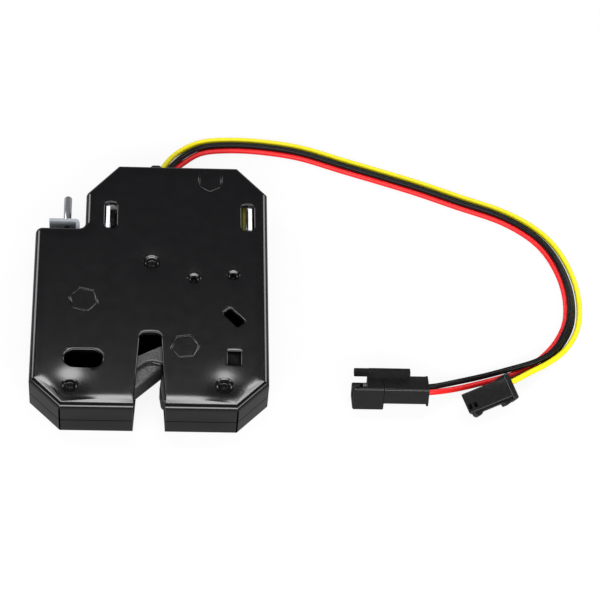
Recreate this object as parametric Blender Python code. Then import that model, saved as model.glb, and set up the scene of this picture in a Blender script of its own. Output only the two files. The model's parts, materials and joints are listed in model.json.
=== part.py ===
"""Solenoid cabinet lock lying on its back, with its four leads and the two-pin connector pair.

X runs across the case, -Y is the side that the strike enters and +Z is the side with the cover.
The origin is the middle of the case outline, on the plane that the lock lies on.
"""

import math

import bpy
from mathutils import Matrix, Vector
from mathutils.geometry import tessellate_polygon

# Case: two pressed pans that meet at a seam
CASE_WIDTH = 0.0650
CASE_LENGTH = 0.0800
CASE_DEPTH = 0.0130
SHEET = 0.0012
BEND_RADIUS = 0.0013
SEAM_HEIGHT = 0.0058
SEAM_GAP = 0.0003
CORNER_CUT = 0.0085
CORNER_RELIEF = 0.0005
SHOULDER_WIDTH = 0.0136
SHOULDER_REACH = 0.05835
SHOULDER_CUT = 0.0093
SHOULDER_RADIUS = 0.0022
SLOT_MOUTH_WIDTH = 0.0088
SLOT_THROAT_WIDTH = 0.0060
SLOT_TAPER_LENGTH = 0.0214
SLOT_LENGTH = 0.0244
WINDOW_LENGTH = 0.01105
WINDOW_WIDTH = 0.0061
PLAY = 0.0003

# Posts, measured from the slot's centre line and from the mouth edge
LATCH_PIVOT_REACH = 0.0473
LATCH_LEVER_PIN_REACH = 0.0556
KICKER_PIVOT_X = 0.0203
KICKER_PIVOT_REACH = 0.0073
LEFT_POST_X = -0.0216
LEFT_POST_REACH = 0.0068
POST_RADIUS = 0.0020
POST_END_RADIUS = 0.0014
POST_DIMPLE = 0.0006
ROCKER_X = -0.01865
ROCKER_REACH = 0.0343
HEXAGON_SIZE = 0.0043
STUD_RADIUS = 0.0015

# Lock mechanism
SPRING_ROOM = 0.0018
LATCH_WEB = 0.0026
KICKER_THICKNESS = 0.0015
LATCH_HUB = 0.0050
KICKER_HUB = 0.0036
ROCKER_THICKNESS = 0.0020
LOBE_X = -0.01105
LOBE_REACH = 0.0373
LOBE_RADIUS = 0.0032
PIN_RADIUS = 0.0009
PIN_CLEARANCE = 0.00055
SPRING_WIRE = 0.0006

# Release slider at the shoulder
SLIDER_SHEET = 0.0010
SLIDER_HEIGHT = 0.0060
SLIDER_BASE = 0.0045
RELEASE_PIN_RADIUS = 0.0011
RELEASE_PIN_LENGTH = 0.0088

# Solenoid, lying along X
SOLENOID_REACH = 0.0630
SOLENOID_LENGTH = 0.0413
SOLENOID_MARGIN = 0.0043
PLATE = 0.0010
BOBBIN_TUBE = 0.0033
BOBBIN_BORE = 0.0028
PLUNGER_RADIUS = 0.0025
CORE_LENGTH = 0.0227
LEAD_BAY = 0.0026

# Position switch, turned by its angle from X
SWITCH_X = 0.01735
SWITCH_REACH = 0.0428
SWITCH_ANGLE = 6.6
SWITCH_LENGTH = 0.0198
SWITCH_WIDTH = 0.0102
SWITCH_HEIGHT = 0.0064
SWITCH_PIN_SPAN = 0.01107
LEVER_SHEET = 0.0004
LEVER_ANGLE = 13.5

# Leads and connectors
LEAD_DIAMETER = 0.0016
LEAD_STEP = 0.0052
INNER_LEAD_STEP = 0.0037
LEAD_SPACING = 0.0019
LEAD_PITCH = 0.00175
GROMMET_X = 0.0032
GROMMET_HEIGHT = 0.0065
GROMMET_BORE_WIDTH = 0.0059
GROMMET_BORE_HEIGHT = 0.0040
CORD_START = 0.0007
SOCKET_PLACE = (0.05585, -0.0310, 0.00905)
SOCKET_TILT = -22.0
HOOD_LENGTH = 0.0086
HOUSING_LENGTH = 0.0201
HOUSING_SIZE = 0.0060
HOOD_DROP = 0.0013
HOOD_WALL = 0.0009
PLUG_PLACE = (0.08614, -0.03187, 0.0015)
PLUG_ANGLE = 25.7
PLUG_TILT = 20.0
PLUG_LENGTH = 0.0153
PLUG_WIDTH = 0.0059
PLUG_HEIGHT = 0.0050
PLUG_BORES = ((0.0017, 0.0014), (0.0010, 0.0037))
PLUG_BORE = 0.0010
CONTACT_BORE = 0.0011
CONTACT_RADIUS = 0.0007

# Planes that follow from the sizes above
LEFT = -CASE_WIDTH / 2
RIGHT = CASE_WIDTH / 2
MOUTH = -CASE_LENGTH / 2
TOP = CASE_LENGTH / 2
CEILING = CASE_DEPTH - SHEET
KICKER_TOP = CEILING - PLAY
KICKER_BASE = KICKER_TOP - KICKER_THICKNESS
LATCH_TOP = KICKER_BASE - PLAY
LATCH_BASE = SHEET + SPRING_ROOM
LATCH_STEP = LATCH_BASE + LATCH_WEB
ROCKER_BASE = LATCH_STEP + PLAY
ROCKER_TOP = ROCKER_BASE + ROCKER_THICKNESS
AXIS_HEIGHT = CASE_DEPTH / 2
FRAME_BASE = SHEET + PLAY
FRAME_TOP = CEILING - PLAY
SOLENOID_Y = MOUTH + SOLENOID_REACH
SOLENOID_RIGHT = RIGHT - SOLENOID_MARGIN
SOLENOID_LEFT = SOLENOID_RIGHT - SOLENOID_LENGTH
LATCH_PIVOT = Vector((0, MOUTH + LATCH_PIVOT_REACH))
KICKER_PIVOT = Vector((KICKER_PIVOT_X, MOUTH + KICKER_PIVOT_REACH))
LEFT_POST = Vector((LEFT_POST_X, MOUTH + LEFT_POST_REACH))
ROCKER_PIVOT = Vector((ROCKER_X, MOUTH + ROCKER_REACH))
LOBE = Vector((LOBE_X, MOUTH + LOBE_REACH))
DRIVE_PIN = Vector((0, MOUTH + LATCH_LEVER_PIN_REACH))
SHOULDER_X = LEFT + SHOULDER_WIDTH
SHOULDER_Y = MOUTH + SHOULDER_REACH


def clear_scene():
    for obj in list(bpy.data.objects):
        bpy.data.objects.remove(obj, do_unlink=True)


def material(name, color, roughness, metallic=0.0):
    found = bpy.data.materials.get(name)
    if found:
        return found
    made = bpy.data.materials.new(name)
    made.use_nodes = True
    shader = made.node_tree.nodes["Principled BSDF"]
    shader.inputs["Base Color"].default_value = (*color, 1)
    shader.inputs["Roughness"].default_value = roughness
    shader.inputs["Metallic"].default_value = metallic
    return made


def black_paint():
    return material("black_paint", (0.012, 0.013, 0.015), 0.25)


def sintered_steel():
    return material("sintered_steel", (0.16, 0.16, 0.17), 0.45, 0.9)


def zinc_plate():
    return material("zinc_plate", (0.62, 0.63, 0.65), 0.3, 1.0)


def spring_wire():
    return material("spring_wire", (0.5, 0.5, 0.52), 0.3, 1.0)


def black_nylon():
    return material("black_nylon", (0.015, 0.015, 0.016), 0.5)


def white_nylon():
    return material("white_nylon", (0.82, 0.83, 0.85), 0.4)


def black_rubber():
    return material("black_rubber", (0.02, 0.02, 0.02), 0.7)


def copper():
    return material("copper", (0.7, 0.33, 0.15), 0.35, 1.0)


def tinned_brass():
    return material("tinned_brass", (0.75, 0.7, 0.55), 0.3, 1.0)


def insulation(name, color):
    return material(name, color, 0.45)


def solid(name, points, faces, look, origin=(0, 0, 0)):
    """A mesh object from world points, its origin moved to the given place."""
    mesh = bpy.data.meshes.new(name)
    home = Vector(origin)
    mesh.from_pydata([Vector(p) - home for p in points], [], faces)
    mesh.validate()
    obj = bpy.data.objects.new(name, mesh)
    obj.location = home
    bpy.context.scene.collection.objects.link(obj)
    mesh.materials.append(look)
    mesh.shade_smooth()
    mesh.set_sharp_from_angle(angle=math.radians(35))
    return obj


def hide_tool(obj):
    obj.hide_render = True
    obj.display_type = "WIRE"


def combine(obj, tool, operation):
    modifier = obj.modifiers.new(tool.name, "BOOLEAN")
    modifier.operation = operation
    modifier.object = tool
    modifier.solver = "EXACT"
    hide_tool(tool)


def cut(obj, *tools):
    for tool in tools:
        combine(obj, tool, "DIFFERENCE")


def join(obj, *tools):
    for tool in tools:
        combine(obj, tool, "UNION")


def arc(center, radius, start, end, steps):
    """Points along an arc, angles in degrees, both ends included."""
    spots = []
    for i in range(steps + 1):
        angle = math.radians(start + (end - start) * i / steps)
        spots.append((center[0] + radius * math.cos(angle), center[1] + radius * math.sin(angle)))
    return spots


def circle(center, radius, steps=16):
    return arc(center, radius, 0, 360 - 360 / steps, steps - 1)


def rectangle(x0, y0, x1, y1):
    return [(x0, y0), (x1, y0), (x1, y1), (x0, y1)]


def turned(points, center, degrees):
    """The points turned about a centre, counter-clockwise."""
    angle = math.radians(degrees)
    cosine, sine = math.cos(angle), math.sin(angle)
    found = []
    for x, y in points:
        dx, dy = x - center[0], y - center[1]
        found.append((center[0] + dx * cosine - dy * sine, center[1] + dx * sine + dy * cosine))
    return found


def moved(points, shift):
    return [(x + shift[0], y + shift[1]) for x, y in points]


def area(points):
    total = 0
    for (x0, y0), (x1, y1) in zip(points, points[1:] + points[:1]):
        total += x0 * y1 - x1 * y0
    return total / 2


def counter_clockwise(points):
    return list(points) if area(points) > 0 else list(points)[::-1]


def rounded(points, radii, steps=3):
    """The closed outline with each corner rounded; radii is one number or one for each corner."""
    if not isinstance(radii, (list, tuple)):
        radii = [radii] * len(points)
    spots = []
    for i, radius in enumerate(radii):
        before = Vector(points[i - 1])
        corner = Vector(points[i])
        after = Vector(points[(i + 1) % len(points)])
        to_before = (before - corner).normalized()
        to_after = (after - corner).normalized()
        half = to_before.angle(to_after) / 2
        if radius <= 1e-6 or half > math.radians(88):
            spots.append(tuple(corner))
            continue
        run = radius / math.tan(half)
        center = corner + (to_before + to_after).normalized() * (radius / math.sin(half))
        first = corner + to_before * run - center
        last = corner + to_after * run - center
        sweep = first.angle_signed(last)
        for step in range(steps + 1):
            turn = Matrix.Rotation(-sweep * step / steps, 2)
            spots.append(tuple(center + turn @ first))
    return spots


def inset(points, distance):
    """The counter-clockwise outline moved inwards by a distance, corner for corner."""
    spots = []
    for i, corner in enumerate(points):
        before = (Vector(corner) - Vector(points[i - 1])).normalized()
        after = (Vector(points[(i + 1) % len(points)]) - Vector(corner)).normalized()
        normal_before = Vector((-before.y, before.x))
        normal_after = Vector((-after.y, after.x))
        middle = (normal_before + normal_after).normalized()
        spots.append(tuple(Vector(corner) + middle * distance / max(0.2, middle.dot(normal_before))))
    return spots


def loft(name, rings, look, origin=(0, 0, 0)):
    """A solid through rings of equal count, given bottom to top, counter-clockwise from above."""
    points = [p for ring in rings for p in ring]
    count = len(rings[0])
    faces = []
    for level in range(len(rings) - 1):
        low = level * count
        for i in range(count):
            j = (i + 1) % count
            faces.append((low + i, low + j, low + count + j, low + count + i))
    bottom = tessellate_polygon([[Vector(p) for p in rings[0]]])
    top = tessellate_polygon([[Vector(p) for p in rings[-1]]])
    last = (len(rings) - 1) * count
    faces += [tuple(reversed(oriented(rings[0], face))) for face in bottom]
    faces += [tuple(last + i for i in oriented(rings[-1], face)) for face in top]
    return solid(name, points, faces, look, origin)


def oriented(points, face):
    """The triangle's indices in counter-clockwise order seen along the ring's own normal."""
    a, b, c = (Vector(points[i]) for i in face)
    ring = sum((Vector(p).cross(Vector(q)) for p, q in zip(points, points[1:] + points[:1])), Vector())
    return face if (b - a).cross(c - a).dot(ring) > 0 else tuple(reversed(face))


def plate(name, outline, low, high, look, holes=(), origin=(0, 0, 0), edge=0.0):
    """A flat plate between two heights, with through holes and an optional bevel on its outer edges."""
    loops = [counter_clockwise(outline)] + [counter_clockwise(hole)[::-1] for hole in holes]
    levels = [(low, edge), (low + edge, 0), (high - edge, 0), (high, edge)] if edge else [(low, 0), (high, 0)]
    points = []
    for z, shrink in levels:
        for i, loop in enumerate(loops):
            ring = inset(loop, shrink) if shrink and i == 0 else loop
            points += [(x, y, z) for x, y in ring]
    total = sum(len(loop) for loop in loops)
    faces = []
    for level in range(len(levels) - 1):
        start = level * total
        for loop in loops:
            count = len(loop)
            for i in range(count):
                j = (i + 1) % count
                faces.append((start + i, start + j, start + total + j, start + total + i))
            start += count
    ground = [[Vector((x, y, 0)) for x, y in loop] for loop in loops]
    flat = [p for loop in ground for p in loop]
    top = (len(levels) - 1) * total
    for face in tessellate_polygon(ground):
        a, b, c = (flat[i] for i in face)
        up = face if (b - a).cross(c - a).z > 0 else tuple(reversed(face))
        faces.append(tuple(top + i for i in up))
        faces.append(tuple(reversed(up)))
    return solid(name, points, faces, look, origin)


def turned_solid(name, profile, look, place, turn=None, steps=16, origin=None):
    """A solid turned about Z from (radius, height) pairs, bottom to top, then placed."""
    spots = []
    rings = []
    for radius, height in profile:
        if radius < 1e-7:
            rings.append([len(spots)])
            spots.append(Vector((0, 0, height)))
            continue
        rings.append(list(range(len(spots), len(spots) + steps)))
        spots += [Vector((x, y, height)) for x, y in circle((0, 0), radius, steps)]
    faces = []
    for low, high in zip(rings, rings[1:]):
        for i in range(steps):
            j = (i + 1) % steps
            if len(low) == 1:
                faces.append((low[0], high[j], high[i]))
            elif len(high) == 1:
                faces.append((low[i], low[j], high[0]))
            else:
                faces.append((low[i], low[j], high[j], high[i]))
    if len(rings[0]) > 1:
        faces.append(tuple(reversed(rings[0])))
    if len(rings[-1]) > 1:
        faces.append(tuple(rings[-1]))
    where = Matrix.Translation(Vector(place)) @ (turn.to_4x4() if turn else Matrix())
    return solid(name, [where @ p for p in spots], faces, look, place if origin is None else origin)


def ring_solid(name, profile, look, place, turn=None, steps=20, origin=None):
    """A solid turned about Z from a closed (radius, height) profile, counter-clockwise with radius as x."""
    count = len(profile)
    where = Matrix.Translation(Vector(place)) @ (turn.to_4x4() if turn else Matrix())
    spots = []
    for i in range(steps):
        angle = 2 * math.pi * i / steps
        spots += [where @ Vector((r * math.cos(angle), r * math.sin(angle), h)) for r, h in profile]
    faces = []
    for i in range(steps):
        here, there = i * count, ((i + 1) % steps) * count
        for j in range(count):
            k = (j + 1) % count
            faces.append((here + j, there + j, there + k, here + k))
    return solid(name, spots, faces, look, place if origin is None else origin)


ALONG_X = Matrix.Rotation(math.radians(90), 3, "Y")
ALONG_Y = Matrix.Rotation(math.radians(-90), 3, "X")


def smooth_route(points, step):
    """Points at an even step along a smooth curve through the route's own points."""
    fine = []
    spots = [Vector(p) for p in points]
    spots = [2 * spots[0] - spots[1]] + spots + [2 * spots[-1] - spots[-2]]
    for a, b, c, d in zip(spots, spots[1:], spots[2:], spots[3:]):
        for i in range(16):
            t = i / 16
            fine.append(
                0.5 * (2 * b + (c - a) * t + (2 * a - 5 * b + 4 * c - d) * t * t + (3 * b - a - 3 * c + d) * t**3)
            )
    fine.append(spots[-2])
    lengths = [0.0]
    for a, b in zip(fine, fine[1:]):
        lengths.append(lengths[-1] + (b - a).length)
    count = max(3, round(lengths[-1] / step))
    even = []
    k = 0
    for i in range(count + 1):
        wanted = lengths[-1] * i / count
        while k < len(fine) - 2 and lengths[k + 1] < wanted:
            k += 1
        share = (wanted - lengths[k]) / (lengths[k + 1] - lengths[k])
        even.append(fine[k].lerp(fine[k + 1], share))
    return even


def tube(name, points, radius, look, sides=2):
    """A round wire along points, as a curve with a bevel and filled caps."""
    data = bpy.data.curves.new(name, "CURVE")
    data.dimensions = "3D"
    data.bevel_depth = radius
    data.bevel_resolution = sides
    data.use_fill_caps = True
    spline = data.splines.new("POLY")
    spline.points.add(len(points) - 1)
    for spot, place in zip(spline.points, points):
        spot.co = (*place, 1)
    data.materials.append(look)
    obj = bpy.data.objects.new(name, data)
    bpy.context.scene.collection.objects.link(obj)
    return obj


# Case shells
def case_corners():
    """Corners of the case outline and their rounding, counter-clockwise."""
    return [
        ((LEFT + CORNER_CUT, MOUTH), 0),
        ((RIGHT - CORNER_CUT, MOUTH), 0),
        ((RIGHT, MOUTH + CORNER_CUT), 0),
        ((RIGHT, TOP - CORNER_CUT), 0),
        ((RIGHT - CORNER_CUT, TOP), 0),
        ((SHOULDER_X + SHOULDER_CUT, TOP), 0),
        ((SHOULDER_X, TOP - SHOULDER_CUT), SHOULDER_RADIUS),
        ((SHOULDER_X, SHOULDER_Y), -SHOULDER_RADIUS),
        ((LEFT, SHOULDER_Y), SHOULDER_RADIUS),
        ((LEFT, MOUTH + CORNER_CUT), 0),
    ]


def case_ring(distance, height):
    """The case outline moved in by a distance, at a height, with its rounded corners kept concentric."""
    corners = inset([corner for corner, _ in case_corners()], distance)
    radii = []
    for _, radius in case_corners():
        if radius < 0:
            radii.append(-radius + distance)
        else:
            radii.append(max(radius - distance, 0.0002) if radius else 0)
    return [(x, y, height) for x, y in rounded(corners, radii)]


def pan(name, rim, floor):
    """A pressed pan from its open rim to its flat floor, bent round with one sheet thickness."""
    up = 1 if floor > rim else -1
    steps = 2
    outer = [case_ring(0, rim)]
    inner = [case_ring(SHEET, rim)]
    inner_radius = BEND_RADIUS - SHEET
    for i in range(steps + 1):
        angle = math.pi / 2 * i / steps
        sink = BEND_RADIUS * (1 - math.cos(angle))
        outer.append(case_ring(sink, floor - up * BEND_RADIUS * (1 - math.sin(angle))))
        sink = BEND_RADIUS - inner_radius * math.cos(angle)
        inner.append(case_ring(sink, floor - up * (BEND_RADIUS - inner_radius * math.sin(angle))))
    rings = inner[::-1] + outer
    count = len(rings[0])
    points = [p for ring in rings for p in ring]
    faces = []
    for level in range(len(rings) - 1):
        low = level * count
        for i in range(count):
            j = (i + 1) % count
            faces.append((low + i, low + j, low + count + j, low + count + i))
    last = (len(rings) - 1) * count
    for face in tessellate_polygon([[Vector(p) for p in rings[-1]]]):
        turned_up = oriented(rings[-1], face)
        faces.append(tuple(last + i for i in turned_up))
        faces.append(tuple(reversed(turned_up)))
    if up < 0:
        faces = [tuple(reversed(face)) for face in faces]
    return solid(name, points, faces, black_paint())


def slot_outline():
    """The strike slot: a tapered mouth and a short throat with rounded corners."""
    mouth = SLOT_MOUTH_WIDTH / 2
    throat = SLOT_THROAT_WIDTH / 2
    end = MOUTH + SLOT_LENGTH
    corners = [
        (-mouth, MOUTH - SHEET),
        (mouth, MOUTH - SHEET),
        (mouth, MOUTH),
        (throat, MOUTH + SLOT_TAPER_LENGTH),
        (throat, end),
        (-throat, end),
        (-throat, MOUTH + SLOT_TAPER_LENGTH),
        (-mouth, MOUTH),
    ]
    return rounded(corners, [0, 0, 0, 0, throat * 0.7, throat * 0.7, 0, 0])


def window_outlines():
    """The cover's windows: one oblong, one square and one slanted."""
    oblong_center = (-0.01815, MOUTH + 0.0153)
    half = (WINDOW_LENGTH - WINDOW_WIDTH) / 2
    oblong = arc((oblong_center[0] + half, oblong_center[1]), WINDOW_WIDTH / 2, -90, 90, 8)
    oblong += arc((oblong_center[0] - half, oblong_center[1]), WINDOW_WIDTH / 2, 90, 270, 8)
    square = rounded(rectangle(0.0209, MOUTH + 0.0137, 0.02485, MOUTH + 0.01875), 0.0004, 2)
    middle = (0.0230, MOUTH + 0.0294)
    slanted = rectangle(middle[0] - 0.0030, middle[1] - 0.0016, middle[0] + 0.0030, middle[1] + 0.0016)
    return [oblong, square, turned(rounded(slanted, 0.0005, 2), middle, -47.8)]


def tab_slots():
    """The two slots that take the tabs of the solenoid frame."""
    slots = []
    for left, right in (
        (SOLENOID_LEFT - 0.0004, SOLENOID_LEFT + 0.0032),
        (SOLENOID_RIGHT - 0.00305, SOLENOID_RIGHT + 0.0007),
    ):
        slots.append(rounded(rectangle(left, SOLENOID_Y - 0.0047, right, SOLENOID_Y + 0.0046), 0.0012, 3))
    return slots


def rivet_places():
    """Pivot posts and switch pins: place and radius of the dimple round each."""
    return [
        (LATCH_PIVOT, 0.0023),
        (LEFT_POST, 0.00255),
        (KICKER_PIVOT, 0.00275),
        (switch_pin(-1), 0.00175),
        (switch_pin(1), 0.0017),
    ]


def hexagon_places():
    """Studs with a hexagon mark round them: place and the angle of one corner."""
    return [(ROCKER_PIVOT, 48.0), (anchor_place(), 7.5), (clip_place(), 28.0)]


def anchor_place():
    return Vector((0.00955, MOUTH + 0.0195))


def clip_place():
    return Vector((0.0163, TOP - 0.0043))


def front_cover():
    cover = pan("front_cover", SEAM_HEIGHT + SEAM_GAP / 2, CASE_DEPTH)
    outside = CASE_DEPTH + 0.002
    below = CEILING - 0.0006
    look = black_paint()
    cut(cover, plate("cover_slot_cutter", slot_outline(), SEAM_HEIGHT - 0.002, outside, look))
    for i, outline in enumerate(window_outlines() + tab_slots()):
        cut(cover, plate(f"cover_window_cutter_{i}", outline, below, outside, look))
    for i, (place, radius) in enumerate(rivet_places()):
        hole = POST_END_RADIUS + PLAY if radius > 0.002 else 0.0009
        profile = [(0, below), (hole, below), (hole, CASE_DEPTH - POST_DIMPLE), (radius, CASE_DEPTH + 1e-5)]
        profile += [(radius, outside), (0, outside)]
        cut(cover, turned_solid(f"cover_dimple_cutter_{i}", profile, look, (*place, 0)))
    for i, (place, angle) in enumerate(hexagon_places()):
        cut(cover, hexagon_groove(f"cover_hexagon_cutter_{i}", place, angle))
    cut(cover, *relief_cutters("cover"), *wall_openings("cover"))
    return cover


def hexagon_groove(name, place, angle):
    """A shallow hexagonal ring, as deep as the mark."""
    outer = [(place[0] + x, place[1] + y) for x, y in arc((0, 0), HEXAGON_SIZE, angle, angle + 300, 5)]
    inner = [(place[0] + x, place[1] + y) for x, y in arc((0, 0), HEXAGON_SIZE - 0.0006, angle, angle + 300, 5)]
    return plate(name, outer, CASE_DEPTH - 0.0003, CASE_DEPTH + 0.001, black_paint(), holes=[inner])


def relief_cutters(shell):
    """Thin slits that part the flanges at the cut corners."""
    corners = [corner for corner, radius in case_corners() if radius == 0]
    middle = Vector((0, 0))
    cutters = []
    for i, corner in enumerate(corners):
        towards = (middle - Vector(corner)).normalized()
        angle = math.degrees(math.atan2(towards.y, towards.x))
        strip = moved(rectangle(-0.001, -CORNER_RELIEF / 2, SHEET + 0.0009, CORNER_RELIEF / 2), corner)
        outline = turned(strip, corner, angle)
        if shell == "cover":
            low, high = SEAM_HEIGHT - 0.001, CASE_DEPTH - BEND_RADIUS * 0.75
        else:
            low, high = BEND_RADIUS * 0.75, SEAM_HEIGHT + 0.001
        cutters.append(plate(f"{shell}_relief_cutter_{i}", outline, low, high, black_paint()))
    return cutters


def wall_openings(shell):
    """The opening for the slider in the shoulder wall and the one for the grommet in the top wall."""
    look = black_paint()
    wall = slider_line() - SLIDER_SHEET
    slider = plate(
        f"{shell}_slider_cutter",
        rectangle(wall - 0.0004, SHOULDER_Y - 0.003, wall + 2 * SLIDER_SHEET + 0.0004, SHOULDER_Y + 0.001),
        SLIDER_BASE - PLAY,
        SLIDER_BASE + SLIDER_HEIGHT + PLAY,
        look,
    )
    opening = grommet_loop(0.0006 + PLAY)
    rings = [wall_ring(opening, TOP - 0.003), wall_ring(opening, TOP + 0.002)]
    return [slider, loft(f"{shell}_grommet_cutter", rings, look)]


def back_shell():
    shell = pan("back_shell", SEAM_HEIGHT - SEAM_GAP / 2, 0.0)
    look = black_paint()
    inside = SHEET + 0.0006
    cut(shell, plate("shell_slot_cutter", slot_outline(), -0.002, SEAM_HEIGHT + 0.002, look))
    for i, place in enumerate(mounting_holes()):
        cut(shell, plate(f"shell_hole_cutter_{i}", circle(place, 0.0016, 16), -0.002, inside, look))
    for i, (place, radius) in enumerate(rivet_places()):
        hole = POST_END_RADIUS + PLAY if radius > 0.002 else 0.0009
        cut(shell, plate(f"shell_rivet_cutter_{i}", circle(place, hole, 16), -0.002, inside, look))
    for i, (place, _) in enumerate(hexagon_places()):
        cut(shell, plate(f"shell_stud_cutter_{i}", circle(place, STUD_RADIUS - PLAY, 16), -0.002, inside, look))
    cut(shell, *relief_cutters("shell"), *wall_openings("shell"))
    return shell


def mounting_holes():
    """Plain screw holes in the back, clear of the posts."""
    return [
        (LEFT + 0.0055, MOUTH + 0.0220),
        (RIGHT - 0.0050, MOUTH + 0.0220),
        (LEFT + 0.0055, SHOULDER_Y - 0.0064),
        (RIGHT - 0.0080, TOP - 0.0050),
    ]


# Posts and studs
def post(name, place):
    shoulder_low = SHEET + PLAY
    shoulder_high = CEILING - PLAY
    profile = [
        (0, POST_DIMPLE * 0.4),
        (POST_END_RADIUS, POST_DIMPLE * 0.4),
        (POST_END_RADIUS, shoulder_low),
        (POST_RADIUS, shoulder_low),
        (POST_RADIUS, shoulder_high),
        (POST_END_RADIUS, shoulder_high),
        (POST_END_RADIUS, CASE_DEPTH - POST_DIMPLE - 0.0002),
        (POST_END_RADIUS * 0.8, CASE_DEPTH - POST_DIMPLE),
        (0, CASE_DEPTH - POST_DIMPLE),
    ]
    return turned_solid(name, profile, zinc_plate(), (*place, 0))


def stud(name, place, height, foot=0.0):
    """A stud clinched into the back shell, with a wider foot under a lever where one is asked."""
    base = SHEET + PLAY
    neck = STUD_RADIUS - 2 * PLAY
    profile = [(0, 0.0002), (neck, 0.0002), (neck, base)]
    if foot:
        profile += [(foot, base), (foot, ROCKER_BASE - PLAY), (STUD_RADIUS, ROCKER_BASE - PLAY)]
    else:
        profile += [(STUD_RADIUS, base)]
    profile += [(STUD_RADIUS, height), (0, height)]
    return turned_solid(name, profile, zinc_plate(), (*place, 0), steps=16)


def posts():
    post("latch_pivot_post", LATCH_PIVOT)
    post("left_post", LEFT_POST)
    post("kicker_pivot_post", KICKER_PIVOT)
    for side, name in ((-1, "switch_pin_left"), (1, "switch_pin_right")):
        profile = [(0, 0.0002), (0.0006, 0.0002), (0.0006, SHEET + PLAY), (0.0011, SHEET + PLAY)]
        profile += [(0.0011, CEILING - PLAY), (0.0006, CEILING - PLAY), (0.0006, CASE_DEPTH - POST_DIMPLE)]
        profile += [(0, CASE_DEPTH - POST_DIMPLE)]
        turned_solid(name, profile, zinc_plate(), (*switch_pin(side), 0), steps=14)
    stud("rocker_stud", ROCKER_PIVOT, ROCKER_TOP + 0.0010, foot=0.0022)
    stud("spring_stud", anchor_place(), KICKER_BASE - PLAY)
    stud("lead_stud", clip_place(), CEILING - PLAY)


# Latch hook: a lower web with the lobe and the switch arm, and an upper block with the nose
def hook_outline():
    """The hook's arm and nose, from its hub down the left of the slot and across it."""
    slot_side = -SLOT_MOUTH_WIDTH / 2 - 0.0005
    low = MOUTH + 0.0054
    corners = [
        (0.0046, LATCH_PIVOT.y - 0.0019),
        (0.0049, LATCH_PIVOT.y + 0.0012),
        (0.0000, LATCH_PIVOT.y + LATCH_HUB),
        (-0.0049, LATCH_PIVOT.y + 0.0012),
        (-0.0062, LATCH_PIVOT.y - 0.0153),
        (-0.0108, LATCH_PIVOT.y - 0.0233),
        (-0.0108, MOUTH + 0.0140),
        (-0.0084, low + 0.0010),
        (-0.0066, low),
        (0.0033, MOUTH + 0.0148),
        (0.0033, MOUTH + 0.0158),
        (slot_side + 0.0006, MOUTH + 0.0176),
        (slot_side, MOUTH + 0.0190),
        (slot_side, LATCH_PIVOT.y - 0.0213),
        (0.0030, LATCH_PIVOT.y - 0.0062),
    ]
    radii = [0.003, 0.003, 0.0045, 0.003, 0.008, 0.004, 0.004, 0.0012, 0.0009, 0.0007, 0.0005]
    radii += [0.0006, 0.0006, 0.004, 0.003]
    return rounded(corners, radii, 2)


def latch_hook():
    pivot = (*LATCH_PIVOT, LATCH_BASE)
    look = sintered_steel()
    bore = circle(LATCH_PIVOT, POST_RADIUS + PLAY, 16)
    hook = plate("latch_hook", hook_outline(), LATCH_BASE, LATCH_TOP, look, [bore], pivot, edge=0.0004)
    half = PIN_RADIUS + PLAY
    prong = 0.0028
    top = DRIVE_PIN.y + 0.0014
    fork = [(-prong, LATCH_PIVOT.y + 0.0028), (prong, LATCH_PIVOT.y + 0.0028), (prong, top), (half, top)]
    fork += [(half, DRIVE_PIN.y - 0.0022), (-half, DRIVE_PIN.y - 0.0022), (-half, top), (-prong, top)]
    join(hook, plate("latch_fork_web", fork, LATCH_BASE + 0.0002, LATCH_STEP, look))
    lobe = arc(LOBE, LOBE_RADIUS, 80, 300, 8)
    lobe += [(-0.0052, LATCH_PIVOT.y - 0.0140), (-0.0020, LATCH_PIVOT.y + 0.0030)]
    web = plate("latch_lobe_web", lobe, LATCH_BASE + 0.0002, LATCH_STEP, look)
    crook = [(0.0044, 0.0001), (0.0082, 0.0053), (0.0102, 0.0051), (0.0112, 0.0041), (0.0124, 0.0045)]
    crook += [(0.0117, 0.0067), (0.0080, 0.0074), (0.0020, 0.0042)]
    arm = [(LATCH_PIVOT.x + x, LATCH_PIVOT.y + y) for x, y in crook]
    radii = [0, 0.0015, 0.0008, 0.0006, 0.0006, 0.0015, 0.0020, 0]
    join(hook, web, plate("latch_arm_web", rounded(arm, radii, 3), LATCH_BASE + 0.0002, LATCH_STEP, look))
    eye = circle(LOBE, PIN_RADIUS + PIN_CLEARANCE, 16)
    cut(hook, plate("latch_eye_cutter", eye, LATCH_BASE - 0.001, LATCH_TOP + 0.001, look))
    return hook


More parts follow.
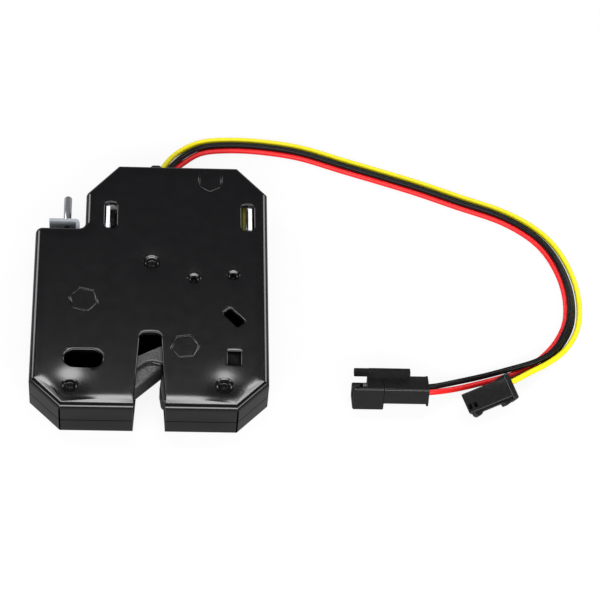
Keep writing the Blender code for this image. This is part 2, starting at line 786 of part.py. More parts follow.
# Kicker: a thin plate over the hook with a hollowed front edge
def kicker():
    pivot = (*KICKER_PIVOT, KICKER_BASE)
    y = KICKER_PIVOT.y
    corners = [
        (-0.0052, y + 0.0051),
        (-0.0035, y + 0.0063),
        (-0.0009, y + 0.0083),
        (0.0008, y + 0.0086),
        (0.0036, y + 0.0079),
        (0.0048, y + 0.0067),
        (0.0050, y + 0.0027),
        (0.0150, y - 0.0042),
        (KICKER_PIVOT.x + KICKER_HUB, y - 0.0030),
        (KICKER_PIVOT.x + KICKER_HUB, y + 0.0020),
        (0.0180, y + 0.0137),
        (0.0135, y + 0.0175),
        (0.0087, y + 0.0180),
        (0.0046, y + 0.0141),
        (-0.0046, y + 0.0093),
        (-0.0062, y + 0.0069),
    ]
    radii = [0.0006, 0.001, 0.0015, 0.0015, 0.001, 0.001, 0.002, 0.003, 0.003, 0.003]
    radii += [0.003, 0.002, 0.002, 0.003, 0.0012, 0.0008]
    bore = circle(KICKER_PIVOT, POST_RADIUS + PLAY, 16)
    outline = rounded(corners, radii, 2)
    return plate("kicker", outline, KICKER_BASE, KICKER_TOP, zinc_plate(), [bore], pivot, edge=0.0002)


# Rocker between the release slider and the lobe of the hook
def release_rocker():
    look = zinc_plate()
    pivot = (*ROCKER_PIVOT, ROCKER_BASE)
    push = slider_foot() + Vector((-0.0001, 0.0004))
    to_lobe = (LOBE - ROCKER_PIVOT).normalized()
    to_push = (push - ROCKER_PIVOT).normalized()
    lobe_angle = math.degrees(math.atan2(to_lobe.y, to_lobe.x))
    push_angle = math.degrees(math.atan2(to_push.y, to_push.x))
    outline = arc(LOBE, 0.0018, lobe_angle - 90, lobe_angle + 90, 6)
    outline += arc(ROCKER_PIVOT, 0.0030, lobe_angle + 70, push_angle - 70, 4)
    outline += arc(push, 0.0013, push_angle - 90, push_angle + 90, 6)
    outline += arc(ROCKER_PIVOT, 0.0030, push_angle + 70, lobe_angle + 290, 4)
    bore = circle(ROCKER_PIVOT, STUD_RADIUS + PLAY, 16)
    eye = circle(LOBE, PIN_RADIUS + PLAY, 14)
    plate("release_rocker", outline, ROCKER_BASE, ROCKER_TOP, look, [bore, eye], pivot, edge=0.0002)
    profile = [(0, LATCH_BASE + PLAY), (PIN_RADIUS, LATCH_BASE + PLAY), (PIN_RADIUS, ROCKER_TOP + PLAY)]
    profile += [(0.0015, ROCKER_TOP + PLAY), (0.0013, ROCKER_TOP + 0.0008), (0, ROCKER_TOP + 0.0008)]
    turned_solid("rocker_pin", profile, look, (*LOBE, 0), steps=14, origin=pivot)


# Release slider: one strip with a flange outside the shoulder and a foot on the rocker
def slider_line():
    """Left face of the slider's straight leg."""
    return SHOULDER_X - 0.0027


def slider_foot():
    """Where the slider's foot pushes the rocker."""
    return Vector((slider_line() - 0.0045, ROCKER_PIVOT.y + 0.0018))


def release_slider():
    look = zinc_plate()
    leg = slider_line()
    flange = SHOULDER_Y + 0.0040
    foot = slider_foot()
    jog = foot.y + 0.0056
    t = SLIDER_SHEET
    corners = [
        (LEFT + 0.0033, flange),
        (leg, flange),
        (leg, jog + t),
        (foot.x, jog + t),
        (foot.x, foot.y + 0.0020),
        (foot.x + t, foot.y + 0.0020),
        (foot.x + t, jog),
        (leg + t, jog),
        (leg + t, flange + t),
        (LEFT + 0.0033, flange + t),
    ]
    bend = t * 1.3
    radii = [0, 0.0004, 0.0004, bend, 0, 0, 0.0004, bend, bend, 0]
    low, high = SLIDER_BASE, SLIDER_BASE + SLIDER_HEIGHT
    strip = plate("release_slider", rounded(corners, radii, 4), low, high, look, origin=(leg, flange, low))
    pin_x = LEFT + 0.0083
    height = SLIDER_BASE + SLIDER_HEIGHT / 2
    hole = turned_solid(
        "slider_hole_cutter", [(0, 0), (0.0009, 0), (0.0009, 3 * t), (0, 3 * t)], look,
        (pin_x, flange - t, height), ALONG_Y, 12,
    )
    cut(strip, hole)
    profile = [
        (0, -0.0003),
        (0.0006, -0.0003),
        (0.0006, t + PLAY),
        (RELEASE_PIN_RADIUS, t + PLAY),
        (RELEASE_PIN_RADIUS, RELEASE_PIN_LENGTH - 0.0006),
        (RELEASE_PIN_RADIUS * 0.6, RELEASE_PIN_LENGTH),
        (0, RELEASE_PIN_LENGTH),
    ]
    turned_solid("release_pin", profile, look, (pin_x, flange, height), ALONG_Y, 16, origin=(leg, flange, low))


def slider_guide():
    """A nylon block that carries the slider's leg."""
    look = black_nylon()
    leg = slider_line()
    y0, y1 = SHOULDER_Y - 0.0118, SHOULDER_Y - 0.0058
    block = rounded(rectangle(leg - 0.0024, y0, leg + 0.0034, y1), 0.0006, 2)
    guide = plate("slider_guide", block, SHEET + PLAY, CEILING - PLAY, look)
    groove = rectangle(leg - PLAY, y0 - 0.001, leg + SLIDER_SHEET + PLAY, y1 + 0.001)
    cut(guide, plate("guide_groove_cutter", groove, SLIDER_BASE - PLAY, CASE_DEPTH, look))


# Strike guide along the right side of the slot
def strike_guide():
    look = black_nylon()
    edge = SLOT_MOUTH_WIDTH / 2 - 0.0006
    top = MOUTH + 0.0136
    corners = [
        (edge - 0.0002, MOUTH + 0.0030),
        (edge + 0.0016, MOUTH + 0.0022),
        (edge + 0.0030, MOUTH + 0.0040),
        (edge + 0.0030, top - 0.0016),
        (edge + 0.0014, top),
        (edge - 0.0006, top - 0.0012),
        (edge - 0.0011, MOUTH + 0.0080),
    ]
    bumper = plate("strike_guide", rounded(corners, 0.0011, 3), SHEET + PLAY, KICKER_BASE - 0.0005, look)
    foot = [(edge + 0.0012, MOUTH + 0.0036), (KICKER_PIVOT.x, KICKER_PIVOT.y - 0.0034)]
    foot += arc(KICKER_PIVOT, 0.0034, -80, 80, 6)
    foot += [(edge + 0.0012, top - 0.0018)]
    bore = circle(KICKER_PIVOT, POST_RADIUS + PLAY, 16)
    join(bumper, plate("guide_foot_web", foot, SHEET + PLAY + 0.0001, LATCH_BASE - PLAY, look, [bore]))


# Torsion springs round the pivot posts
def torsion_spring(name, place, radius, low, turns, pitch, legs, start):
    """A wire coil with two straight legs that leave it at its ends."""
    steps = 8
    points = []
    for i in range(round(turns * steps) + 1):
        angle = start + 2 * math.pi * i / steps
        height = low + pitch * i / steps
        across, along = radius * math.cos(angle), radius * math.sin(angle)
        points.append(Vector((place[0] + across, place[1] + along, height)))
    first = points[0] + Vector((math.sin(start), -math.cos(start), 0)) * legs[0]
    end = start + 2 * math.pi * turns
    last = points[-1] + Vector((-math.sin(end), math.cos(end), 0)) * legs[1]
    tube(name, [first, *points, last], SPRING_WIRE / 2, spring_wire(), 1)


def springs():
    low = SHEET + PLAY + SPRING_WIRE / 2
    torsion_spring("latch_spring", LATCH_PIVOT, 0.0029, low, 0.75, 0.0008, (0.006, 0.007), math.radians(-40))
    low = LATCH_BASE + 0.0012
    torsion_spring("kicker_spring", KICKER_PIVOT, 0.0029, low, 4.46, 0.0011, (0.006, 0.007), math.radians(225))


# Solenoid
def solenoid_frame():
    look = zinc_plate()
    left, right, y = SOLENOID_LEFT, SOLENOID_RIGHT, SOLENOID_Y
    low_y, high_y = y - 0.0054, y + 0.0068
    strap = [
        (left, low_y),
        (left + PLATE, low_y),
        (left + PLATE, high_y - PLATE),
        (right - PLATE, high_y - PLATE),
        (right - PLATE, low_y),
        (right, low_y),
        (right, high_y),
        (left, high_y),
    ]
    bend = PLATE * 1.2
    frame = plate("solenoid_frame", rounded(strap, [0, 0, 0.0003, 0.0003, 0, 0, bend, bend], 4), FRAME_BASE,
                  FRAME_TOP, look)
    for i, x in enumerate((left, right - PLATE)):
        tab = rectangle(x, y - 0.0038, x + PLATE, y + 0.0036)
        join(frame, plate(f"frame_tab_{i}", tab, FRAME_TOP - 0.002, CASE_DEPTH - 0.0005, look))
    hole = [(0, -0.002), (PLUNGER_RADIUS + PLAY, -0.002), (PLUNGER_RADIUS + PLAY, 0.002), (0, 0.002)]
    cut(frame, turned_solid("frame_bore_cutter", hole, look, (left, y, AXIS_HEIGHT), ALONG_X, 20))
    rivet = [(0, -0.002), (0.0015 + PLAY, -0.002), (0.0015 + PLAY, 0.002), (0, 0.002)]
    cut(frame, turned_solid("frame_rivet_cutter", rivet, look, (right, y, AXIS_HEIGHT), ALONG_X, 16))
    for i, (x0, x1) in enumerate(((right - 0.0035, right - 0.0013), (left + 0.0026, left + 0.0070))):
        notch = rectangle(x0, high_y - 2 * PLATE, x1, high_y + 0.001)
        cut(frame, plate(f"frame_notch_cutter_{i}", notch, FRAME_TOP - 0.0022, CASE_DEPTH, look))


def bobbin_and_winding():
    y = SOLENOID_Y
    start = SOLENOID_LEFT + PLATE + PLAY
    end = SOLENOID_RIGHT - PLATE - LEAD_BAY
    flange = 0.0010
    length = end - start
    profile = [
        (BOBBIN_BORE, 0),
        (0.0048, 0),
        (0.0048, flange),
        (BOBBIN_TUBE, flange),
        (BOBBIN_TUBE, length - flange),
        (0.0048, length - flange),
        (0.0048, length),
        (BOBBIN_BORE, length),
    ]
    ring_solid("bobbin", profile, black_nylon(), (start, y, AXIS_HEIGHT), ALONG_X, 14)
    inner = BOBBIN_TUBE + PLAY
    outer = min(0.0049, CEILING - AXIS_HEIGHT - 2 * PLAY)
    low, high = flange + PLAY, length - flange - PLAY
    winding = [(inner, low), (outer, low), (outer, high), (inner, high)]
    ring_solid("winding", winding, copper(), (start, y, AXIS_HEIGHT), ALONG_X, 14)
    core_end = SOLENOID_RIGHT - PLATE - PLAY
    core = [(0, 0), (BOBBIN_BORE - PLAY, 0), (BOBBIN_BORE - PLAY, CORE_LENGTH), (0.0015, CORE_LENGTH)]
    core += [(0.0015, CORE_LENGTH + PLATE + 2 * PLAY), (0, CORE_LENGTH + PLATE + 2 * PLAY)]
    turned_solid("fixed_core", core, zinc_plate(), (core_end - CORE_LENGTH, y, AXIS_HEIGHT), ALONG_X, 14)


def plunger_and_link():
    y = SOLENOID_Y
    look = zinc_plate()
    home = (SOLENOID_LEFT, y, AXIS_HEIGHT)
    profile = [
        (0, -0.0043),
        (0.0021, -0.0043),
        (0.0021, -0.0037),
        (0.0012, -0.0037),
        (0.0012, -0.0021),
        (PLUNGER_RADIUS, -0.0021),
        (PLUNGER_RADIUS, 0.0149),
        (0, 0.0149),
    ]
    turned_solid("plunger", profile, look, home, ALONG_X, 14)
    link_x = SOLENOID_LEFT - 0.0034
    t = PLATE
    low_y = DRIVE_PIN.y - 0.0010
    reach = DRIVE_PIN.x + 0.0013
    arm_low, arm_high = AXIS_HEIGHT - 0.0006, AXIS_HEIGHT + 0.0006
    upright = rectangle(link_x, low_y, link_x + t, y + 0.0024)
    fork = plate("plunger_link", upright, LATCH_BASE, LATCH_TOP + PLAY, look, origin=home)
    notch = rectangle(link_x - t, y - 0.0015, link_x + 2 * t, y + 0.004)
    cut(fork, plate("link_notch_cutter", notch, AXIS_HEIGHT - 0.0015, AXIS_HEIGHT + 0.0015, look))
    strip = rounded(rectangle(link_x + t / 2, low_y, reach, low_y + 0.0020), [0, 0.0009, 0.0009, 0], 3)
    join(fork, plate("link_arm", strip, arm_low, arm_high, look))
    eye = circle(DRIVE_PIN, PIN_RADIUS - 0.0002, 14)
    cut(fork, plate("link_eye_cutter", eye, arm_low - 0.001, arm_high + 0.001, look))
    pin = [(0, LATCH_BASE + PLAY), (PIN_RADIUS, LATCH_BASE + PLAY), (PIN_RADIUS, arm_low - 2 * PLAY)]
    pin += [(0.0004, arm_low - 2 * PLAY), (0.0004, arm_high + PLAY), (0.0008, arm_high + PLAY)]
    pin += [(0.0008, arm_high + 0.0007), (0, arm_high + 0.0007)]
    turned_solid("drive_pin", pin, look, (*DRIVE_PIN, 0), steps=12, origin=home)


# Position switch
def switch_frame(x, y):
    """A point of the switch, from its own axes to the case."""
    angle = math.radians(SWITCH_ANGLE)
    return Vector((
        SWITCH_X + x * math.cos(angle) - y * math.sin(angle),
        MOUTH + SWITCH_REACH + x * math.sin(angle) + y * math.cos(angle),
    ))


def switch_pin(side):
    return switch_frame(side * SWITCH_PIN_SPAN / 2, 0)


def switch_outline(points):
    return [tuple(switch_frame(x, y)) for x, y in points]


def position_switch():
    look = black_nylon()
    half, width = SWITCH_LENGTH / 2, SWITCH_WIDTH / 2
    low, high = FRAME_BASE + 0.0018, FRAME_BASE + 0.0018 + SWITCH_HEIGHT
    holes = [circle(switch_pin(side), 0.0011 + PLAY, 14) for side in (-1, 1)]
    button = rectangle(0.0035 - 0.0013, width - 0.0022, 0.0035 + 0.0013, width + 0.001)
    body = rounded(switch_outline(rectangle(-half, -width, half, width)), 0.0005, 2)
    case = plate("switch_body", body, low, high, look, holes, edge=0.0002)
    middle = (low + high) / 2
    cut(case, plate("button_well_cutter", switch_outline(button), middle - 0.0013, middle + 0.0013, look))
    nose = [(-0.0010, -0.0010), (0.0010, -0.0010), (0.0010, 0.0014), (-0.0010, 0.0014)]
    cap = rounded([(0.0035 + x, width + y) for x, y in nose], [0, 0, 0.0005, 0.0005], 3)
    plate("switch_button", switch_outline(cap), middle - 0.0010, middle + 0.0010, white_nylon(),
          origin=(*switch_frame(0.0035, width), middle))
    hinge = Vector((0.0075, width + 0.0009))
    run = 0.0150
    tilt = 180 - LEVER_ANGLE
    direction = Vector((math.cos(math.radians(tilt)), math.sin(math.radians(tilt))))
    side = Vector((-direction.y, direction.x)) * LEVER_SHEET / 2
    strip = [hinge - side, hinge + direction * run - side, hinge + direction * run + side, hinge + side]
    plate("switch_lever", switch_outline([tuple(p) for p in strip]), middle - 0.0017, middle + 0.0017,
          zinc_plate(), origin=(*switch_frame(*hinge), middle))
    for i, x in enumerate((-0.0076, 0.0, 0.0076)):
        blade = rectangle(x - 0.0003, -width - 0.0035, x + 0.0003, -width - PLAY)
        outline = switch_outline(blade)
        plate(f"switch_terminal_{i + 1}", outline, middle - 0.0012, middle + 0.0012, tinned_brass())


# Grommet and leads
def grommet_loop(grow, steps=4):
    """An oblong about the grommet's middle, larger than its bore by a margin."""
    wide, high = GROMMET_BORE_WIDTH / 2 + grow, GROMMET_BORE_HEIGHT / 2 + grow
    loop = rounded(rectangle(-wide, -high, wide, high), high * 0.9, steps)
    return [(GROMMET_X + x, GROMMET_HEIGHT + z) for x, z in loop]


def wall_ring(loop, y):
    """A loop of (x, z) pairs as a ring that a loft along +Y can use."""
    return [(x, y, z) for x, z in reversed(loop)]


def cable_grommet():
    look = black_rubber()
    neck, flange = grommet_loop(0.0006), grommet_loop(0.0015)
    inside, outside = TOP - SHEET - PLAY, TOP + PLAY
    rings = [
        wall_ring(flange, inside - 0.0020),
        wall_ring(flange, inside),
        wall_ring(neck, inside),
        wall_ring(neck, outside),
        wall_ring(flange, outside),
        wall_ring(flange, outside + 0.0006),
        wall_ring(neck, outside + 0.0014),
    ]
    body = loft("cable_grommet", rings, look)
    bore = grommet_loop(0)
    through = [wall_ring(bore, inside - 0.003), wall_ring(bore, outside + 0.003)]
    cut(body, loft("grommet_bore_cutter", through, look))


def inner_leads():
    """Leads inside the case, laid by hand from the switch and the winding to the grommet."""
    end = TOP - CORD_START - 0.0003
    left = GROMMET_X - LEAD_PITCH
    right = GROMMET_X + LEAD_PITCH
    over = GROMMET_X + LEAD_PITCH / 2
    low, high = GROMMET_HEIGHT - 0.0005, GROMMET_HEIGHT + 0.00095
    terminal = switch_frame(0.0076, -SWITCH_WIDTH / 2 - 0.0047)
    common = switch_frame(0.0, -SWITCH_WIDTH / 2 - 0.0047)
    yoke = SOLENOID_Y + 0.0068
    wall = RIGHT - SHEET - 0.0015
    yellow = [
        (terminal.x, terminal.y, 0.0069),
        (terminal.x + 0.0010, terminal.y - 0.0024, 0.0069),
        (wall - 0.0014, terminal.y - 0.0022, 0.0070),
        (wall, terminal.y + 0.0020, 0.0073),
        (wall, terminal.y + 0.0110, 0.0084),
        (SOLENOID_RIGHT + 0.0006, SOLENOID_Y - 0.0092, 0.0094),
        (SOLENOID_RIGHT - PLATE - 0.0011, SOLENOID_Y - 0.0066, 0.0101),
        (SOLENOID_RIGHT - PLATE - 0.0013, SOLENOID_Y, 0.0102),
        (SOLENOID_RIGHT - PLATE - 0.0013, yoke - 0.0010, 0.0102),
        (SOLENOID_RIGHT - PLATE - 0.0022, yoke + 0.0020, 0.0100),
        (0.0160, yoke + 0.0022, 0.0100),
        (left + 0.0062, yoke + 0.0018, 0.0096),
        (left + 0.0015, yoke + 0.0020, 0.0092),
        (left - 0.0004, yoke + 0.0033, 0.0079),
        (left, TOP - 0.0052, low + 0.0004),
        (left, TOP - 0.0038, low),
        (left, end, low),
    ]
    signal = [
        (common.x, common.y, 0.0069),
        (common.x + 0.0010, common.y - 0.0032, 0.0058),
        (0.0250, common.y - 0.0040, 0.0044),
        (wall - 0.0012, common.y - 0.0020, 0.0038),
        (wall, common.y + 0.0040, 0.0038),
        (wall, yoke - 0.0090, 0.0044),
        (wall - 0.0002, yoke - 0.0016, 0.0046),
        (wall - 0.0022, yoke + 0.0018, 0.0050),
        (0.0235, yoke + 0.0034, 0.0055),
        (0.0160, yoke + 0.0024, 0.0060),
        (GROMMET_X + 0.0079, yoke + 0.0033, 0.0068),
        (GROMMET_X + 0.0034, yoke + 0.0034, 0.0074),
        (GROMMET_X + 0.0012, yoke + 0.0037, 0.0071),
        (GROMMET_X, TOP - 0.0052, low + 0.0001),
        (GROMMET_X, TOP - 0.0038, low),
        (GROMMET_X, end, low),
    ]
    red = [
        (SOLENOID_LEFT + 0.0039, SOLENOID_Y + 0.0042, 0.0103),
        (SOLENOID_LEFT + 0.0038, yoke + 0.0006, 0.0103),
        (SOLENOID_LEFT + 0.0046, yoke + 0.0019, 0.0066),
        (-0.0060, yoke + 0.0018, 0.0036),
        (right - 0.0049, yoke + 0.0018, 0.0028),
        (right - 0.0010, yoke + 0.0024, 0.0032),
        (right, yoke + 0.0036, 0.0044),
        (right, TOP - 0.0052, low - 0.0006),
        (right, TOP - 0.0038, low),
        (right, end, low),
    ]
    power = [
        (SOLENOID_LEFT + 0.0059, SOLENOID_Y + 0.0042, 0.0103),
        (SOLENOID_LEFT + 0.0059, yoke + 0.0012, 0.0104),
        (over - 0.0070, yoke + 0.0038, 0.0105),
        (over - 0.0035, yoke + 0.0046, 0.0102),
        (over - 0.0010, TOP - 0.0058, high + 0.0015),
        (over, TOP - 0.0048, high + 0.0004),
        (over, TOP - 0.0040, high),
        (over, end, high),
    ]
    for name, route, look in (
        ("lead_yellow_inner", yellow, yellow_skin()),
        ("lead_black_signal_inner", signal, black_skin()),
        ("lead_red_inner", red, red_skin()),
        ("lead_black_power_inner", power, black_skin()),
    ):
        tube(name, smooth_route(route, INNER_LEAD_STEP), LEAD_DIAMETER / 2, look)


# Outer leads: one shared loop on the table, each lead beside the next, with its own two ends
SHARED_LOOP = [
    (0.0136, 0.0568),
    (0.0222, 0.0578),
    (0.0314, 0.0575),
    (0.0432, 0.0556),
    (0.0549, 0.0515),
    (0.0667, 0.0475),
    (0.0783, 0.0434),
    (0.0899, 0.0387),
    (0.1014, 0.0343),
    (0.1099, 0.0288),
    (0.1153, 0.0226),
    (0.1190, 0.0139),
    (0.1204, 0.0053),
    (0.1197, -0.0032),
    (0.1173, -0.0084),
]
ON_TABLE = 0.00085
ON_TOP = 0.00230

YELLOW_START = [(0.00145, 0.0393, 0.0060), (0.00150, 0.0430, 0.0059), (0.00265, 0.0456, 0.0050),
                (0.0040, 0.0489, 0.0037), (0.0066, 0.0537, 0.0017)]
YELLOW_END = [(0.11645, -0.0127, 0.0012), (0.11305, -0.0160, 0.0019), (0.1094, -0.0187, 0.0025),
              (0.1062, -0.0209, 0.0035), (0.1040, -0.0228, 0.0046), (0.10235, -0.02443, 0.00532),
              (0.09802, -0.02651, 0.00532)]
SIGNAL_START = [(0.0032, 0.0393, 0.0060), (0.0032, 0.0430, 0.0059), (0.00435, 0.0454, 0.0050),
                (0.00575, 0.0483, 0.0037), (0.00845, 0.0529, 0.0016)]
SIGNAL_END = [(0.11525, -0.01155, 0.00085), (0.1121, -0.01505, 0.00085), (0.1091, -0.0179, 0.00085),
              (0.1063, -0.0195, 0.0012), (0.1040, -0.0214, 0.0024), (0.10172, -0.02313, 0.0034),
              (0.0974, -0.02521, 0.0034)]
RED_START = [(0.00495, 0.0393, 0.0060), (0.00495, 0.0430, 0.0059), (0.0062, 0.0456, 0.0049),
             (0.0077, 0.0480, 0.0035), (0.0104, 0.0519, 0.0014)]
RED_END = [(0.1141, -0.0103, 0.00085), (0.1108, -0.0139, 0.00085), (0.1080, -0.0165, 0.00085),
           (0.1032, -0.01945, 0.00085), (0.1010, -0.02045, 0.00085), (0.0972, -0.0218, 0.00085),
           (0.0922, -0.0233, 0.00085), (0.0868, -0.0251, 0.0012), (0.0818, -0.0276, 0.0036),
           (0.0793, -0.0293, 0.0059), (0.0772, -0.03014, 0.00665), (0.07325, -0.03014, 0.00665)]
POWER_START = [(0.004075, 0.0393, 0.00745), (0.00408, 0.0430, 0.0074), (0.0051, 0.0453, 0.0067),
               (0.0066, 0.0481, 0.0052), (0.0095, 0.0525, 0.0030)]
POWER_END = [(0.1154, -0.01105, 0.00255), (0.11235, -0.0143, 0.00255), (0.1091, -0.0164, 0.00255),
             (0.1054, -0.0180, 0.00255), (0.1032, -0.01865, 0.0026), (0.1010, -0.0191, 0.0021),
             (0.0973, -0.0199, 0.0013), (0.0924, -0.0212, 0.0009), (0.0866, -0.0229, 0.0012),
             (0.0817, -0.0254, 0.0033), (0.0793, -0.0270, 0.0050), (0.0772, -0.02782, 0.00571),
             (0.07325, -0.02782, 0.00571)]


def beside(points, offset, height):
    """The shared loop moved outwards by an offset, at a height."""
    spots = []
    for i, point in enumerate(points):
        before = Vector(points[max(i - 1, 0)])
        after = Vector(points[min(i + 1, len(points) - 1)])
        along = (after - before).normalized()
        outwards = Vector((-along.y, along.x))
        spots.append((point[0] + outwards.x * offset, point[1] + outwards.y * offset, height))
    return spots


def outer_leads():
    for name, start, end, offset, height, look in (
        ("wire_yellow", YELLOW_START, YELLOW_END, LEAD_SPACING, ON_TABLE, yellow_skin()),
        ("wire_black_signal", SIGNAL_START, SIGNAL_END, 0, ON_TABLE, black_skin()),
        ("wire_red", RED_START, RED_END, -LEAD_SPACING, ON_TABLE, red_skin()),
        ("wire_black_power", POWER_START, POWER_END, -LEAD_SPACING / 2, ON_TOP, black_skin()),
    ):
        route = start + beside(SHARED_LOOP, offset, height) + end
        tube(name, smooth_route(route, LEAD_STEP), LEAD_DIAMETER / 2, look)


def yellow_skin():
    return insulation("yellow_insulation", (0.9, 0.72, 0.02))


def red_skin():
    return insulation("red_insulation", (0.75, 0.02, 0.03))


def black_skin():
    return insulation("black_insulation", (0.02, 0.02, 0.022))


# Connectors, each built along its own X and then laid in its place
def lay(place, *objects):
    for obj in objects:
        obj.matrix_basis = place @ obj.matrix_basis


def length_bore(name, x0, x1, y, z, radius, look):
    """A round bar along X, for bores and contacts."""
    profile = [(0, 0), (radius, 0), (radius, x1 - x0), (0, x1 - x0)]
    return turned_solid(name, profile, look, (x0, y, z), ALONG_X, 14)


def block_along(name, outline, x0, x1, look, rim=0.0):
    """A block whose (y, z) outline runs from x0 to x1, with a bevelled rim at its two ends."""
    loop = counter_clockwise(outline)
    small = inset(loop, rim) if rim else loop
    levels = [(x0, small), (x0 + rim, loop), (x1 - rim, loop), (x1, small)] if rim else [(x0, loop), (x1, loop)]
    return loft(name, [[(x, y, z) for y, z in ring] for x, ring in levels], look)


def socket_housing():
    """The lead's hooded housing: an open hood, a block with two contact bores and a latch rail."""
    look = black_nylon()
    size = HOUSING_SIZE
    place = Matrix.Translation(SOCKET_PLACE) @ Matrix.Rotation(math.radians(SOCKET_TILT), 4, "X")
    hood_low = -size - HOOD_DROP
    end = HOUSING_LENGTH
    rings = []
    for x, drop, grow in (
        (0, HOOD_DROP, -0.0002),
        (0.0002, HOOD_DROP, 0),
        (HOOD_LENGTH, HOOD_DROP, 0),
        (HOOD_LENGTH, 0, -0.0001),
        (end - 0.0016, 0, -0.0001),
        (end - 0.0016, 0.0005, 0),
        (end - 0.0002, 0.0005, 0),
        (end, 0.0004, -0.0001),
    ):
        loop = rounded(rectangle(-grow, -size - drop - grow, size + grow, grow), 0.0005, 2)
        rings.append([(x, y, z) for y, z in loop])
    hood = loft("socket_housing", rings, look)
    rail_top = 0.0024
    rail = [
        (0.0041, -0.0006),
        (0.0041, rail_top - 0.0009),
        (0.0052, rail_top - 0.0009),
        (0.0120, rail_top - 0.0006),
        (0.0140, rail_top),
        (0.0156, rail_top),
        (0.0156, rail_top - 0.0010),
        (0.0120, rail_top - 0.0013),
        (0.0062, rail_top - 0.0015),
        (0.0062, -0.0006),
    ]
    sides = [[(x, y, z) for x, z in reversed(rail)] for y in (size - 0.0003, size - 0.0014)]
    latch = loft("socket_rail", sides, look)
    join(hood, latch)
    well = rectangle(HOOD_WALL, hood_low + HOOD_WALL, size - HOOD_WALL, -HOOD_WALL)
    cavity = block_along("socket_cavity_cutter", rounded(well, 0.0004, 2), -0.001, HOOD_LENGTH - 0.0008, look)
    gap = rectangle(size / 3, -HOOD_WALL - 0.002, size + 0.002, 0.001)
    notch = block_along("socket_notch_cutter", gap, -0.001, 0.0040, look)
    bores = []
    laid = [hood, latch, cavity, notch]
    for i, (y, z) in enumerate(((0.0042, -0.0019), (0.0017, -0.0019))):
        bore_name = f"socket_bore_cutter_{i}"
        bores.append(length_bore(bore_name, HOOD_LENGTH - 0.0020, end + 0.001, y, z, CONTACT_BORE, look))
        contact = length_bore(f"socket_contact_{i + 1}", 0.0030, end - 0.0030, y, z, CONTACT_RADIUS, tinned_brass())
        laid += [bores[-1], contact]
    cut(hood, cavity, notch, *bores)
    lay(place, *laid)


def plug_housing():
    """The signal housing: a tapered block with two windows, a wide end flange and a side lever."""
    look = black_nylon()
    turn = Matrix.Rotation(math.radians(PLUG_ANGLE), 4, "Z")
    tilt = Matrix.Rotation(math.radians(PLUG_TILT), 4, "X")
    place = Matrix.Translation(PLUG_PLACE) @ turn @ tilt
    half = PLUG_WIDTH / 2
    end = PLUG_LENGTH
    rings = []
    for x, reach, drop in (
        (0, half - 0.0002, 0.0002),
        (0.0002, half, 0),
        (end - 0.0017, half, 0),
        (end - 0.0014, half, 0),
    ):
        loop = rounded(rectangle(-reach, drop, reach, PLUG_HEIGHT - drop), 0.0004, 2)
        rings.append([(x, y, z) for y, z in loop])
    body = loft("plug_housing", rings, look)
    rim = rounded(rectangle(-half - 0.0010, -0.0002, half + 0.0008, PLUG_HEIGHT + 0.0002), 0.0005, 2)
    flange = block_along("plug_flange", rim, end - 0.0016, end, look, 0.0002)
    lever = [
        (0.0015, -half + 0.0003),
        (0.0015, -half - 0.0006),
        (0.0026, -half - 0.0018),
        (0.0038, -half - 0.0011),
        (0.0044, -half - 0.0005),
        (0.0096, -half - 0.0005),
        (0.0098, -half - 0.0016),
        (0.0116, -half - 0.0016),
        (0.0118, -half - 0.0002),
        (0.0036, -half + 0.0003),
    ]
    side = plate("plug_lever", lever, 0.0014, PLUG_HEIGHT - 0.0010, look)
    ramp = [
        (end - 0.0046, half - 0.0003),
        (end - 0.0018, half - 0.0003),
        (end - 0.0018, half + 0.0006),
        (end - 0.0030, half + 0.0006),
    ]
    back = plate("plug_ramp", ramp, 0.0010, PLUG_HEIGHT - 0.0003, look)
    join(body, flange, side, back)
    cutters = []
    for i, x in enumerate((0.0010, 0.0027)):
        window = rounded(rectangle(x, -half + 0.0012, x + 0.0010, -half + 0.0025), 0.0002, 1)
        window_name = f"plug_window_cutter_{i}"
        cutters.append(plate(window_name, window, PLUG_HEIGHT - 0.0012, PLUG_HEIGHT + 0.001, look))
    contacts = []
    for i, (y, height) in enumerate(PLUG_BORES):
        cutters.append(length_bore(f"plug_bore_cutter_{i}", 0.0022, end + 0.001, y, height, PLUG_BORE, look))
        contacts.append(length_bore(f"plug_contact_{i + 1}", 0.0026, end - 0.0032, y, height, CONTACT_RADIUS,
                                    tinned_brass()))
    cut(body, *cutters)
    lay(place, body, flange, side, back, *cutters, *contacts)


def build():
    clear_scene()
    front_cover()
    back_shell()
    posts()
    latch_hook()
    kicker()
    release_rocker()
    release_slider()
    slider_guide()
    strike_guide()
    springs()
    solenoid_frame()
    bobbin_and_winding()
    plunger_and_link()
    position_switch()
    cable_grommet()
    inner_leads()
    outer_leads()
    socket_housing()
    plug_housing()


build()
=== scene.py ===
"""The looks of the solenoid cabinet lock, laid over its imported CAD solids."""

import json
import math

import bpy
from mathutils import Matrix, Vector
from mathutils.geometry import delaunay_2d_cdt, tessellate_polygon


